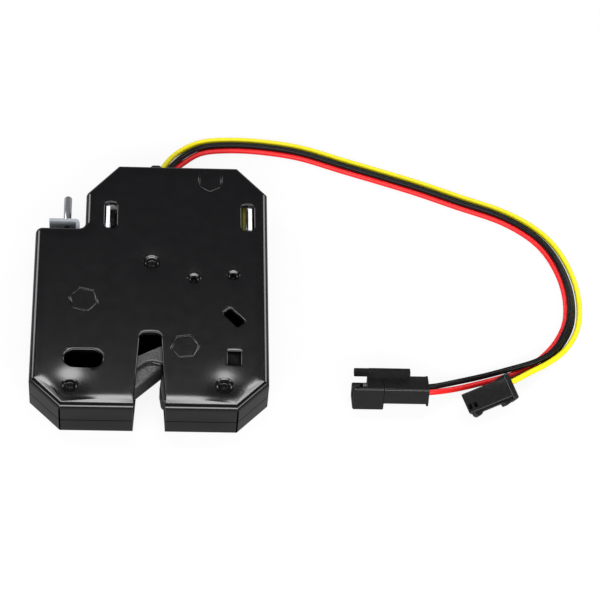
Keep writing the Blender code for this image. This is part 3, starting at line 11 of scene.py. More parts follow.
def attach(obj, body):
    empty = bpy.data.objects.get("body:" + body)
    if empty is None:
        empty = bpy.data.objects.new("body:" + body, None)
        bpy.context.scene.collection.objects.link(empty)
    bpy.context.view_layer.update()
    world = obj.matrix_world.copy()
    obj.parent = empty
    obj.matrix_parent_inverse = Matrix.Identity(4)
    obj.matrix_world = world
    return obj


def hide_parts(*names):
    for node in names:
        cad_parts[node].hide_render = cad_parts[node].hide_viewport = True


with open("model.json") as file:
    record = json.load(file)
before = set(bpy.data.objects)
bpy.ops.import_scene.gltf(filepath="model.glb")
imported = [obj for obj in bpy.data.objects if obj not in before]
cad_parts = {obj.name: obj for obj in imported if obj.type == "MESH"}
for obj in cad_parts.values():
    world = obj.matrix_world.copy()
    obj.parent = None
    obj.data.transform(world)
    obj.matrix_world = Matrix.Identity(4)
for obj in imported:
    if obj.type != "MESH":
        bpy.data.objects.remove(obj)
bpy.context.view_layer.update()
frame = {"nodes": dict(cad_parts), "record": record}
nodes = frame["nodes"]

# Camera, solved from the outline of the case in the photo
CAMERA_ELEVATION, CAMERA_AZIMUTH, CAMERA_ROLL = 56.365, -6.366, 6.398
CAMERA_TARGET, CAMERA_DISTANCE = (0.042319, 0.004084, 0), 0.71113
FOCAL_PIXELS, PHOTO_PIXELS, SENSOR_WIDTH = 2498.83, 600, 36

# World and floor: white to the camera, and dimmer in reflections and in the fill light
WHITE = (1, 1, 1)
STUDIO_MIRRORED, STUDIO_FILL = (0.13, 0.13, 0.14), (0.27, 0.27, 0.27)
PAPER_SHADED, PAPER_REFLECTED, PAPER_GLOW = (0.86, 0.86, 0.86), (0.31, 0.31, 0.31), 0.88

# Case skins, in metres. Their outline follows the photo, up to 1.2 mm outside the solids
LEFT, RIGHT, MOUTH, TOP = -0.0328, 0.0326, -0.0402, 0.0412
DEPTH, SHEET, COVER_BEND, SHELL_BEND = 0.0130, 0.0012, 0.0017, 0.0005
ROLL_SLOPE, ROLL_REACH, ROLL_BLEND = 0.10, 0.0026, 0.0015
EDGE_ROLL = ROLL_SLOPE * (ROLL_REACH - ROLL_BLEND / 2)
CEILING = DEPTH - SHEET
SEAM, SEAM_GAP = 0.0058, 0.0003
CORNER_CUT, RIGHT_TOP_DROP, LEAST_RADIUS = 0.0085, 0.0008, 0.0003
# The shoulder leaves the release slider its 3 mm of travel
SHOULDER_X, SHOULDER_Y, SHOULDER_CUT, SHOULDER_RADIUS = -0.0189, 0.0192, 0.0090, 0.0019
SHOULDER_DROP = 0.0101
BEND_STEPS, DISH_GRID, FLAT_GRID = 8, 0.0009, 0.004

# Openings of the cover: half widths of the strike slot, then the windows and the tab slots
SLOT_MOUTH, SLOT_THROAT, SLOT_TAPER, SLOT_LENGTH = 0.0044, 0.0030, 0.0214, 0.0242
OBLONG_X, OBLONG_Y, OBLONG_RUN, OBLONG_RADIUS = -0.01815, -0.0248, 0.00245, 0.00275
SQUARE, SQUARE_RADIUS = (0.0213, -0.0262, 0.0248, -0.0217), 0.0003
SLANTED_PLACE, SLANTED_ANGLE, SLANTED_RADIUS = (0.0230, -0.0107), -47.8, 0.0005
SLANTED_HALF_LENGTH, SLANTED_HALF_WIDTH = 0.0030, 0.0014
LEFT_TAB, RIGHT_TAB, TAB_RADIUS = (-0.0135, 0.0188, -0.0101, 0.0276), (0.02525, 0.0187, 0.0288, 0.0276), 0.0012
WIDE_RIM, NARROW_RIM, FLARE_STEPS = 0.0005, 0.0004, 5

# Cutters: how far they reach past an outer face, through a sheet, over an edge and into a wall
PAST, THROUGH, OVERLAP, INWARD = 0.002, 0.0006, 0.001, 0.003
RELIEF_HALF_WIDTH, RELIEF_DEPTH = 0.00025, 0.0011
SLIDER_LEFT, SLIDER_RIGHT, SLIDER_LOW, SLIDER_HIGH = -0.02300, -0.0192, 0.0042, 0.0108
CUT_SHARP = 28

# Marks pressed into the cover, and round holes of the back
DIMPLE_DEPTH, DIMPLE_SPREAD, DIMPLE_STEPS = 0.0008, 0.0003, 8
HEXAGON_INSET = 0.0003
SCREW_HOLES, SCREW_RADIUS = [(-0.0270, -0.0180), (0.0275, -0.0180), (-0.0270, 0.01195), (0.0245, 0.0350)], 0.0016
LARGE_HOLE, LARGE_BACK_HOLE, SMALL_BACK_HOLE, STUD_BACK_HOLE = 0.001, 0.0017, 0.0009, 0.0012

# Posts: end radius, middle radius and the drop of the end below the cover
LARGE_POST, SMALL_POST = (0.0014, 0.0020, 0.0013), (0.0006, 0.0011, 0.0011)
POST_BASE, POST_STEP = 0.00024, 0.0015
PAINTED_LENGTH, PAINTED_COLOR = 0.0012, (0.004, 0.004, 0.0045)

# Release pin, grommet and strike guide
PIN_X, PIN_HEIGHT = -0.0242, 0.0075
PIN_START, PIN_NECK_END, PIN_END = 0.0224, 0.0234, 0.0327
PIN_RADIUS, PIN_TIP_RADIUS, PIN_NECK_RADIUS = 0.0011, 0.0009, 0.0006
GROMMET_X, GROMMET_HEIGHT, GROMMET_WALL = 0.0032, 0.0065, 0.0009
GROMMET_BORE_HALF_WIDTH, GROMMET_BORE_HALF_HEIGHT = 0.00295, 0.0020
GROMMET_OUTLINE = [
    (-0.0010, 0.0038), (0.0062, 0.0038), (0.0064, 0.0090), (0.0021, 0.0094), (0.0018, 0.0103), (-0.0002, 0.0103),
    (-0.0008, 0.0094),
]
GROMMET_RADII = [0.0012, 0.0012, 0.0010, 0.0003, 0.0004, 0.0006, 0.0005]
GUIDE_FRONT, GUIDE_LENGTH, GUIDE_BASE, GUIDE_BEVEL, GUIDE_RADIUS = -0.0400, 0.0136, 0.0042, 0.0003, 0.0011

# Connectors
SOCKET_PLACE, SOCKET_TILT = (0.05585, -0.0310, 0.00940), -22.0
HOUSING_SIZE, HOUSING_LENGTH, HOUSING_GROWTH = 0.0060, 0.0201, 0.0009
HOOD_LENGTH, HOOD_DROP, HOOD_WALL, RAIL_TOP = 0.0086, 0.0013, 0.0009, 0.0024
TONGUE = [
    (-0.0004, -0.0016), (0.0007, -0.0016), (0.0007, 0.0004), (0.0016, 0.0004), (0.0016, 0.0011), (-0.0004, 0.0011),
]
PLUG_PLACE, PLUG_TURN, PLUG_TILT = (0.08614, -0.03187, 0.0015), 25.7, 20.0
PLUG_HALF_WIDTH, PLUG_LENGTH, PLUG_HEIGHT, PLUG_LEAN = 0.00295, 0.0153, 0.0050, 0.0023

# Leads: their thickness, the space between them, and the heights of one on the table and one on two others
LEAD, LEAD_SPACING, LEAD_REST, LEAD_ON_TOP = 0.0016, 0.0019, 0.00085, 0.00230
ROUTE_STEP, CURVE_STEPS, SMOOTHING_PASSES = 0.0007, 16, 24
HELD = 4  # points at each end of a route that smoothing leaves in place


# Camera and light
def set_camera():
    elevation, azimuth, roll = (math.radians(a) for a in (CAMERA_ELEVATION, CAMERA_AZIMUTH, CAMERA_ROLL))
    back = Vector((
        math.sin(azimuth) * math.cos(elevation),
        -math.cos(azimuth) * math.cos(elevation),
        math.sin(elevation),
    ))
    right = Vector((math.cos(azimuth), math.sin(azimuth), 0))
    up = back.cross(right)
    turned_right = math.cos(roll) * right + math.sin(roll) * up
    turned_up = math.cos(roll) * up - math.sin(roll) * right
    data = bpy.data.cameras.new("photo_camera")
    data.sensor_width = SENSOR_WIDTH
    data.lens = FOCAL_PIXELS * SENSOR_WIDTH / PHOTO_PIXELS
    data.clip_start, data.clip_end = 0.05, 20
    camera = bpy.data.objects.new("photo_camera", data)
    place = Matrix((turned_right, turned_up, back)).transposed().to_4x4()
    place.translation = Vector(CAMERA_TARGET) + back * CAMERA_DISTANCE
    camera.matrix_world = place
    bpy.context.scene.collection.objects.link(camera)
    bpy.context.scene.camera = camera


def lamp(name, place, target, size, power):
    data = bpy.data.lights.new(name, "AREA")
    data.shape = "RECTANGLE"
    data.size, data.size_y = size
    data.energy = power
    obj = bpy.data.objects.new(name, data)
    obj.location = place
    obj.rotation_euler = (Vector(target) - Vector(place)).to_track_quat("-Z", "Y").to_euler()
    bpy.context.scene.collection.objects.link(obj)


def mixed(tree, factor, first, second):
    """A mix of two shader outputs, by a number or by another node's output."""
    mix = tree.nodes.new("ShaderNodeMixShader")
    if isinstance(factor, float):
        mix.inputs[0].default_value = factor
    else:
        tree.links.new(factor, mix.inputs[0])
    tree.links.new(first, mix.inputs[1])
    tree.links.new(second, mix.inputs[2])
    return mix.outputs[0]


def colored(tree, kind, color):
    """The output of a new shader node of one colour."""
    node = tree.nodes.new(kind)
    node.inputs["Color"].default_value = (*color, 1)
    return node.outputs[0]


def set_world():
    """A white backdrop for the camera and a dim studio for everything else."""
    world = bpy.data.worlds.new("studio")
    world.use_nodes = True
    tree = world.node_tree
    tree.nodes.clear()
    mirrored = colored(tree, "ShaderNodeBackground", STUDIO_MIRRORED)
    fill = colored(tree, "ShaderNodeBackground", STUDIO_FILL)
    backdrop = colored(tree, "ShaderNodeBackground", WHITE)
    rays = tree.nodes.new("ShaderNodeLightPath").outputs
    studio = mixed(tree, rays["Is Diffuse Ray"], mirrored, fill)
    out = tree.nodes.new("ShaderNodeOutputWorld")
    tree.links.new(mixed(tree, rays["Is Camera Ray"], studio, backdrop), out.inputs["Surface"])
    bpy.context.scene.world = world


def make_floor():
    """White paper that reads as white to the camera and dimmer in reflections."""
    bpy.ops.mesh.primitive_plane_add(size=4, location=(0, 0, 0))
    floor = bpy.context.object
    floor.name = "floor"
    look = bpy.data.materials.new("floor_paper")
    look.use_nodes = True
    tree = look.node_tree
    tree.nodes.clear()
    shaded = colored(tree, "ShaderNodeBsdfDiffuse", PAPER_SHADED)
    glow = colored(tree, "ShaderNodeEmission", WHITE)
    reflected = colored(tree, "ShaderNodeBsdfDiffuse", PAPER_REFLECTED)
    paper = mixed(tree, PAPER_GLOW, shaded, glow)
    rays = tree.nodes.new("ShaderNodeLightPath").outputs
    out = tree.nodes.new("ShaderNodeOutputMaterial")
    tree.links.new(mixed(tree, rays["Is Camera Ray"], reflected, paper), out.inputs["Surface"])
    floor.data.materials.append(look)


# Materials
def surface(
    name, dark, light, rough, metallic=0.0, grain=800.0, bump=0.0, bump_grain=1500.0, stretch=(1, 1, 1), gloss=0.5
):
    """A Principled material whose colour, roughness and fine relief vary by noise over the object."""
    look = bpy.data.materials.new(name)
    look.use_nodes = True
    tree = look.node_tree
    shader = tree.nodes["Principled BSDF"]
    shader.inputs["Metallic"].default_value = metallic
    shader.inputs["Specular IOR Level"].default_value = gloss
    place = tree.nodes.new("ShaderNodeTexCoord")
    scale = tree.nodes.new("ShaderNodeMapping")
    scale.inputs["Scale"].default_value = stretch
    tree.links.new(place.outputs["Object"], scale.inputs["Vector"])
    noise = tree.nodes.new("ShaderNodeTexNoise")
    noise.inputs["Scale"].default_value = grain
    noise.inputs["Detail"].default_value = 4
    tree.links.new(scale.outputs[0], noise.inputs["Vector"])
    color = tree.nodes.new("ShaderNodeValToRGB")
    color.color_ramp.elements[0].position = 0.3
    color.color_ramp.elements[0].color = (*dark, 1)
    color.color_ramp.elements[1].position = 0.7
    color.color_ramp.elements[1].color = (*light, 1)
    tree.links.new(noise.outputs["Fac"], color.inputs[0])
    tree.links.new(color.outputs[0], shader.inputs["Base Color"])
    spread = tree.nodes.new("ShaderNodeMapRange")
    spread.inputs["To Min"].default_value = rough[0]
    spread.inputs["To Max"].default_value = rough[1]
    tree.links.new(noise.outputs["Fac"], spread.inputs["Value"])
    tree.links.new(spread.outputs[0], shader.inputs["Roughness"])
    if bump:
        fine = tree.nodes.new("ShaderNodeTexNoise")
        fine.inputs["Scale"].default_value = bump_grain
        fine.inputs["Detail"].default_value = 3
        tree.links.new(scale.outputs[0], fine.inputs["Vector"])
        relief = tree.nodes.new("ShaderNodeBump")
        relief.inputs["Strength"].default_value = 1.0
        relief.inputs["Distance"].default_value = bump
        tree.links.new(fine.outputs["Fac"], relief.inputs["Height"])
        tree.links.new(relief.outputs[0], shader.inputs["Normal"])
    return look


PAINT = surface(
    "gloss_black_paint", (0.0018, 0.0018, 0.0021), (0.0026, 0.0026, 0.0030), (0.12, 0.16), 0, 300, gloss=0.65
)
STEEL = surface(
    "sintered_hook_steel", (0.030, 0.030, 0.029), (0.150, 0.150, 0.147), (0.34, 0.52), 0.6, 2100, 0.00004, 3000
)
ZINC = surface("bright_zinc_plate", (0.62, 0.67, 0.72), (0.74, 0.78, 0.83), (0.12, 0.20), 0.6, 500)
# Solenoid frame: dull zinc plate whose near-white, barely metallic colour is a painted reflection of the white
# backdrop
FRAME_ZINC_PAINTED_REFLECTION = surface("zinc_plate_with_painted_reflection", (0.84, 0.85, 0.87), (0.92, 0.93, 0.94), (0.30, 0.40), 0.15, 500)
# Inner yellow lead: the yellow vinyl darkened as painted shade inside the case
YELLOW_IN_PAINTED_SHADE = surface("yellow_vinyl_painted_shade", (0.07, 0.064, 0.0), (0.13, 0.12, 0.0), (0.4, 0.5), 0, 600)
PIN_ZINC = surface("polished_zinc_pin", (0.74, 0.76, 0.79), (0.84, 0.85, 0.87), (0.08, 0.14), 0.93, 500)
# Kicker: the hook's sintered steel made darker as painted shade from the cover above it
KICKER_STEEL_PAINTED_SHADE = surface(
    "kicker_steel_painted_shade", (0.026, 0.026, 0.027), (0.115, 0.115, 0.115), (0.36, 0.52), 0.6, 2100, 0.00003, 3000
)
WIRE_STEEL = surface("drawn_spring_wire", (0.42, 0.42, 0.44), (0.58, 0.58, 0.60), (0.22, 0.34), 1.0, 1500)
NYLON = surface(
    "moulded_black_nylon", (0.0055, 0.0055, 0.006), (0.0085, 0.0085, 0.009), (0.26, 0.36), 0, 900, 0.000006, 3200
)
WHITE_NYLON = surface(
    "natural_nylon", (0.70, 0.70, 0.67), (0.80, 0.80, 0.77), (0.38, 0.48), 0, 900, 0.000006, 3000
)
RUBBER = surface(
    "moulded_black_rubber", (0.008, 0.008, 0.008), (0.014, 0.014, 0.014), (0.45, 0.60), 0, 1500, 0.00001, 4000
)
TAPE = surface(
    "taped_winding", (0.002, 0.002, 0.002), (0.004, 0.004, 0.004), (0.55, 0.70), 0, 900, 0.00001, 2500, (3, 1, 1), 0.1
)
INNER_NYLON = surface(
    "bobbin_nylon", (0.003, 0.003, 0.003), (0.005, 0.005, 0.005), (0.5, 0.6), 0, 900, gloss=0.15
)
TIN = surface("tin_plated_brass", (0.66, 0.62, 0.52), (0.78, 0.75, 0.66), (0.22, 0.34), 1.0, 1500)
YELLOW = surface("yellow_vinyl", (0.98, 0.83, 0.0), (1.0, 0.87, 0.002), (0.36, 0.44), 0, 300)
RED = surface("red_vinyl", (0.90, 0.008, 0.010), (0.95, 0.011, 0.013), (0.36, 0.44), 0, 300)
BLACK = surface(
    "black_vinyl", (0.0030, 0.0025, 0.0026), (0.0042, 0.0037, 0.0038), (0.34, 0.42), 0, 300, gloss=0.25
)

SLOT_LOOKS = {
    "black_paint": PAINT,
    "sintered_steel": STEEL,
    "zinc_plate": ZINC,
    "spring_wire": WIRE_STEEL,
    "black_nylon": NYLON,
    "white_nylon": WHITE_NYLON,
    "black_rubber": RUBBER,
    "copper": TAPE,
    "tinned_brass": TIN,
    "yellow_insulation": YELLOW,
    "red_insulation": RED,
    "black_insulation": BLACK,
}
# Nodes that look different from the rest of their slot
NODE_LOOKS = {
    # painted shade on the kicker under the cover
    "kicker": KICKER_STEEL_PAINTED_SHADE,
    # painted reflection of the backdrop on the frame's tabs
    "solenoid_frame": FRAME_ZINC_PAINTED_REFLECTION,
    "bobbin": INNER_NYLON,
    # painted shade on the yellow lead inside the case
    "lead_yellow_inner": YELLOW_IN_PAINTED_SHADE,
}
MIX_COLOR_A, MIX_COLOR_B, MIX_COLOR_RESULT = 6, 7, 2  # sockets of a Mix node that is set to colours


def painted_end():
    """Zinc plate whose end in the cover is painted over with it."""
    look = ZINC.copy()
    look.name = "zinc_with_painted_end"
    tree = look.node_tree
    shader = tree.nodes["Principled BSDF"]
    shader.inputs["Specular IOR Level"].default_value = 0.4
    place = tree.nodes.new("ShaderNodeTexCoord")
    split = tree.nodes.new("ShaderNodeSeparateXYZ")
    above = tree.nodes.new("ShaderNodeMath")
    above.operation = "GREATER_THAN"
    above.inputs[1].default_value = CEILING - PAINTED_LENGTH
    tree.links.new(place.outputs["Object"], split.inputs[0])
    tree.links.new(split.outputs["Z"], above.inputs[0])
    mix = tree.nodes.new("ShaderNodeMix")
    mix.data_type = "RGBA"
    plated = shader.inputs["Base Color"].links[0].from_socket
    tree.links.new(above.outputs[0], mix.inputs[0])
    tree.links.new(plated, mix.inputs[MIX_COLOR_A])
    mix.inputs[MIX_COLOR_B].default_value = (*PAINTED_COLOR, 1)
    tree.links.new(mix.outputs[MIX_COLOR_RESULT], shader.inputs["Base Color"])
    bare = tree.nodes.new("ShaderNodeMath")
    bare.operation = "SUBTRACT"
    bare.inputs[0].default_value = 1
    tree.links.new(above.outputs[0], bare.inputs[1])
    tree.links.new(bare.outputs[0], shader.inputs["Metallic"])
    return look


def dress_nodes():
    slots = {part["node"]: part["material_slot"] for part in frame["record"]["subparts"]}
    for name, obj in nodes.items():
        obj.data.materials.clear()
        obj.data.materials.append(NODE_LOOKS.get(name, SLOT_LOOKS[slots[name]]))


# Outline and mesh helpers
def arc(center, radius, start, end, steps):
    """Points along an arc, with its angles in degrees."""
    spots = []
    for i in range(steps + 1):
        angle = math.radians(start + (end - start) * i / steps)
        spots.append((center[0] + radius * math.cos(angle), center[1] + radius * math.sin(angle)))
    return spots


def rectangle(x0, y0, x1, y1):
    return [(x0, y0), (x1, y0), (x1, y1), (x0, y1)]


def turned(points, center, degrees):
    """The points turned about a centre."""
    angle = math.radians(degrees)
    cosine, sine = math.cos(angle), math.sin(angle)
    return [
        (center[0] + (x - center[0]) * cosine - (y - center[1]) * sine,
         center[1] + (x - center[0]) * sine + (y - center[1]) * cosine)
        for x, y in points
    ]


def rounded(points, radii, steps=6):
    """The outline with an arc at each corner. One radius may stand for all."""
    if not isinstance(radii, (list, tuple)):
        radii = [radii] * len(points)
    spots = []
    for i, radius in enumerate(radii):
        before, corner, after = Vector(points[i - 1]), Vector(points[i]), Vector(points[(i + 1) % len(points)])
        to_before, to_after = (before - corner).normalized(), (after - corner).normalized()
        half = to_before.angle(to_after) / 2
        if radius <= 1e-6 or half > math.radians(88):
            spots.append(tuple(corner))
            continue
        run = radius / math.tan(half)
        center = corner + (to_before + to_after).normalized() * (radius / math.sin(half))
        first, last = corner + to_before * run - center, corner + to_after * run - center
        sweep = first.angle_signed(last)
        for step in range(steps + 1):
            spots.append(tuple(center + Matrix.Rotation(-sweep * step / steps, 2) @ first))
    return spots


def inset(points, distance):
    """The counter-clockwise outline moved inwards by a distance."""
    spots = []
    for i, corner in enumerate(points):
        before = (Vector(corner) - Vector(points[i - 1])).normalized()
        after = (Vector(points[(i + 1) % len(points)]) - Vector(corner)).normalized()
        normal_before, normal_after = Vector((-before.y, before.x)), Vector((-after.y, after.x))
        middle = (normal_before + normal_after).normalized()
        spots.append(tuple(Vector(corner) + middle * distance / max(0.2, middle.dot(normal_before))))
    return spots


def counter_clockwise(points):
    area = sum(x0 * y1 - x1 * y0 for (x0, y0), (x1, y1) in zip(points, points[1:] + points[:1]))
    return list(points) if area > 0 else list(points)[::-1]


def mesh_object(name, points, faces, look, sharp=40):
    mesh = bpy.data.meshes.new(name)
    mesh.from_pydata([tuple(p) for p in points], [], faces)
    mesh.validate()
    obj = bpy.data.objects.new(name, mesh)
    bpy.context.scene.collection.objects.link(obj)
    mesh.materials.append(look)
    mesh.shade_smooth()
    mesh.set_sharp_from_angle(angle=math.radians(sharp))
    return obj


def oriented(points, face):
    """The face turned the way that its ring runs."""
    a, b, c = (Vector(points[i]) for i in face)
    ring = sum((Vector(p).cross(Vector(q)) for p, q in zip(points, points[1:] + points[:1])), Vector())
    return face if (b - a).cross(c - a).dot(ring) > 0 else tuple(reversed(face))


def side_faces(levels, count):
    """Quads between rings of count points each, numbered ring by ring."""
    faces = []
    for level in range(levels - 1):
        low = level * count
        for i in range(count):
            j = (i + 1) % count
            faces.append((low + i, low + j, low + count + j, low + count + i))
    return faces


def lower_cap(ring):
    """Triangles that close a ring from below."""
    triangles = tessellate_polygon([[Vector(p) for p in ring]])
    return [tuple(reversed(oriented(ring, face))) for face in triangles]


def loft(name, rings, look):
    """A closed solid through rings that hold the same number of points."""
    points = [p for ring in rings for p in ring]
    count = len(rings[0])
    faces = side_faces(len(rings), count) + lower_cap(rings[0])
    last = (len(rings) - 1) * count
    for face in tessellate_polygon([[Vector(p) for p in rings[-1]]]):
        faces.append(tuple(last + i for i in oriented(rings[-1], face)))
    return mesh_object(name, points, faces, look)


def stack(name, outline, levels, look):
    """A lofted solid from one outline at (height, growth) levels."""
    loop = counter_clockwise(outline)
    return loft(name, [[(x, y, z) for x, y in inset(loop, -grow)] for z, grow in levels], look)


def turned_solid(name, profile, look, place, steps=48):
    """A solid of revolution from (radius, height) points."""
    spots, rings = [], []
    for radius, height in profile:
        if radius < 1e-7:
            rings.append([len(spots)])
            spots.append(Vector((0, 0, height)))
            continue
        rings.append(list(range(len(spots), len(spots) + steps)))
        for i in range(steps):
            angle = 2 * math.pi * i / steps
            spots.append(Vector((radius * math.cos(angle), radius * math.sin(angle), height)))
    faces = []
    for low, high in zip(rings, rings[1:]):
        for i in range(steps):
            j = (i + 1) % steps
            if len(low) == 1:
                faces.append((low[0], high[j], high[i]))
            elif len(high) == 1:
                faces.append((low[i], low[j], high[0]))
            else:
                faces.append((low[i], low[j], high[j], high[i]))
    return mesh_object(name, [p + Vector(place) for p in spots], faces, look)


def apply_cuts(obj, cutters):
    """Cuts the object by every cutter, and removes the cutters."""
    for cutter in cutters:
        modifier = obj.modifiers.new(cutter.name, "BOOLEAN")
        modifier.operation = "DIFFERENCE"
        modifier.object = cutter
        modifier.solver = "EXACT"
    graph = bpy.context.evaluated_depsgraph_get()
    mesh = bpy.data.meshes.new_from_object(obj.evaluated_get(graph))
    obj.modifiers.clear()
    obj.data = mesh
    for cutter in cutters:
        bpy.data.objects.remove(cutter)
    mesh.shade_smooth()
    mesh.set_sharp_from_angle(angle=math.radians(CUT_SHARP))


def flare(low, surface_height, radius, outside):
    """Levels of a cutter that leaves a rounded rim at the surface."""
    levels = [(low, 0)]
    for i in range(FLARE_STEPS + 1):
        angle = math.pi / 2 * i / FLARE_STEPS
        levels.append((surface_height - radius + radius * math.sin(angle), radius * (1 - math.cos(angle))))
    levels.append((outside, radius * 1.001))
    return levels


# Case shells
def case_corners():
    """Corners of the case outline with the radius of each; a negative one is an inner corner."""
    return [
        ((LEFT + CORNER_CUT, MOUTH), 0),
        ((RIGHT - CORNER_CUT, MOUTH), 0),
        ((RIGHT, MOUTH + CORNER_CUT), 0),
        ((RIGHT, TOP - CORNER_CUT - RIGHT_TOP_DROP), 0),
        ((RIGHT - CORNER_CUT, TOP), 0),
        ((SHOULDER_X + SHOULDER_CUT, TOP), 0),
        ((SHOULDER_X, TOP - SHOULDER_DROP), SHOULDER_RADIUS),
        ((SHOULDER_X, SHOULDER_Y), -SHOULDER_RADIUS),
        ((LEFT, SHOULDER_Y), SHOULDER_RADIUS),
        ((LEFT, MOUTH + CORNER_CUT), 0),
    ]


def case_ring(distance, height):
    """The case outline drawn in by a distance, at a height."""
    corners = inset([corner for corner, _ in case_corners()], distance)
    radii = []
    for _, radius in case_corners():
        if radius < 0:
            radii.append(-radius + distance)
        else:
            radii.append(max(radius - distance, LEAST_RADIUS) if radius else LEAST_RADIUS)
    return [(x, y, height) for x, y in rounded(corners, radii)]


def gridded_face(ring, spacing):
    """Triangles over a ring's inside with extra points on a grid, so that the sheet can be dished."""
    loop = [Vector((x, y)) for x, y, _ in ring]
    xs, ys = [p.x for p in loop], [p.y for p in loop]
    spots = list(loop)
    edges = [(i, (i + 1) % len(loop)) for i in range(len(loop))]
    x = min(xs) + spacing
    while x < max(xs):
        y = min(ys) + spacing
        while y < max(ys):
            if inside(loop, x, y, spacing * 0.5):
                spots.append(Vector((x, y)))
            y += spacing
        x += spacing
    found = delaunay_2d_cdt(spots, edges, [], 1, 1e-7)
    return found[0], found[2]


def inside(loop, x, y, margin):
    """Whether a point lies within the loop and at least a margin away from its sides."""
    odd = False
    for i, p in enumerate(loop):
        q = loop[i - 1]
        if (p.y > y) != (q.y > y) and x < (q.x - p.x) * (y - p.y) / (q.y - p.y) + p.x:
            odd = not odd
        side = q - p
        share = max(0, min(1, ((x - p.x) * side.x + (y - p.y) * side.y) / side.length_squared))
        if (Vector((x, y)) - (p + side * share)).length < margin:
            return False
    return odd


def roll(loop, spot):
    """How far the cover drops towards its bends."""
    away = ROLL_REACH
    for i, p in enumerate(loop):
        side = loop[i - 1] - p
        if side.length_squared:
            share = max(0, min(1, (spot - p).dot(side) / side.length_squared))
            away = min(away, (spot - p - side * share).length)
    run = ROLL_REACH - away
    if run < ROLL_BLEND:
        return ROLL_SLOPE * run * run / (2 * ROLL_BLEND)
    return ROLL_SLOPE * (run - ROLL_BLEND / 2)


def dish(x, y):
    """How far the pressed cover dips below its plane round its rivets."""
    low = 0.0
    for (px, py), reach, depth in DENTS:
        low += depth * math.exp(-((x - px) ** 2 + (y - py) ** 2) / (2 * reach * reach))
    return low


# Rivet dimples: place, radius and radius of the hole at the bottom
RIVETS = [
    ((0.0, 0.0073), 0.0023, 0.0016),
    ((-0.0216, -0.0332), 0.00255, 0.0016),
    ((0.0203, -0.0327), 0.00275, 0.0016),
    ((0.01185, 0.0022), 0.00175, 0.0009),
    ((0.02285, 0.00345), 0.0017, 0.0009),
]
# Soft dishes round the rivets: place, reach and depth
DENTS = [
    ((-0.0216, -0.0332), 0.0034, 0.00036),
    ((0.0203, -0.0327), 0.0030, 0.00029),
    ((0.0, 0.0073), 0.0026, 0.00014),
    ((0.01185, 0.0022), 0.0018, 0.00006),
    ((0.02285, 0.00345), 0.0018, 0.00006),
]
# Clinched hexagon heads: place, size to a corner and angle of the first corner
HEXAGONS = [
    ((-0.01865, -0.0057), 0.0043, 48.0),
    ((0.00955, -0.0205), 0.00415, 7.5),
    ((0.0163, 0.0357), 0.0040, 28.0),
]
# Profile of the channel round a hexagon: distance from its middle line and depth below the cover
CHANNEL = [
    (0.00050, -0.0004), (0.00040, -0.00001), (0.00026, 0.00010), (0.00010, 0.00017), (-0.00010, 0.00017),
    (-0.00026, 0.00010), (-0.00040, -0.00001), (-0.00050, -0.0004),
]


def pan(name, rim, floor, bend, dished):
    """An open pan of sheet from its rim to its floor, with rounded bends. A dished floor rolls off and dips."""
    up = 1 if floor > rim else -1
    inner_bend = max(bend - SHEET, 0.0001)
    edge = floor - (EDGE_ROLL if dished else 0)
    outer, inner = [case_ring(0, rim)], [case_ring(SHEET, rim)]
    for i in range(BEND_STEPS + 1):
        angle = math.pi / 2 * i / BEND_STEPS
        inward, drop = 1 - math.cos(angle), 1 - math.sin(angle)
        outer.append(case_ring(bend * inward, edge - up * bend * drop))
        inner.append(case_ring(SHEET + inner_bend * inward, edge - up * (SHEET + inner_bend * drop)))
    rings = inner[::-1] + outer[:-1]
    count = len(rings[0])
    points = [p for ring in rings for p in ring]
    faces = side_faces(len(rings), count) + lower_cap(rings[0])
    flat_spots, triangles = gridded_face(outer[-1], DISH_GRID if dished else FLAT_GRID)
    start = len(points)
    for i, p in enumerate(flat_spots):
        low = 0
        if dished:
            low = EDGE_ROLL if i < count else dish(p.x, p.y) + roll(flat_spots[:count], p)
        points.append((p.x, p.y, floor - low))
    for triangle in triangles:
        faces.append(tuple(start + i for i in facing_up(flat_spots, triangle)))
    last = (len(rings) - 1) * count
    for i in range(count):
        j = (i + 1) % count
        faces.append((last + i, last + j, start + j, start + i))
    if up < 0:
        faces = [tuple(reversed(face)) for face in faces]
    return mesh_object(name, points, faces, PAINT)


def facing_up(spots, face):
    """The face with its corners counter-clockwise from above."""
    a, b, c = (spots[i] for i in face)
    return tuple(face) if (b - a).cross(c - a) > 0 else tuple(reversed(face))


def slot_outline():
    """The strike slot: a tapered mouth, a straight throat and a rounded end."""
    taper, end, open_end = MOUTH + SLOT_TAPER, MOUTH + SLOT_LENGTH, MOUTH - PAST
    corners = [
        (-SLOT_MOUTH, open_end), (SLOT_MOUTH, open_end), (SLOT_MOUTH, MOUTH), (SLOT_THROAT, taper),
        (SLOT_THROAT, end), (-SLOT_THROAT, end), (-SLOT_THROAT, taper), (-SLOT_MOUTH, MOUTH),
    ]
    end_radius = SLOT_THROAT * 0.7
    return rounded(corners, [0, 0, 0, 0, end_radius, end_radius, 0, 0], 8)


def window_outlines():
    """The oblong window, the square one, the slanted one and the two tab slots."""
    oblong = arc((OBLONG_X + OBLONG_RUN, OBLONG_Y), OBLONG_RADIUS, -90, 90, 14)
    oblong += arc((OBLONG_X - OBLONG_RUN, OBLONG_Y), OBLONG_RADIUS, 90, 270, 14)
    square = rounded(rectangle(*SQUARE), SQUARE_RADIUS, 3)
    x, y = SLANTED_PLACE
    long, wide = SLANTED_HALF_LENGTH, SLANTED_HALF_WIDTH
    slanted = rounded(rectangle(x - long, y - wide, x + long, y + wide), SLANTED_RADIUS, 3)
    slanted = turned(slanted, SLANTED_PLACE, SLANTED_ANGLE)
    tabs = [rounded(rectangle(*tab), TAB_RADIUS, 5) for tab in (LEFT_TAB, RIGHT_TAB)]
    return [oblong, square, slanted] + tabs


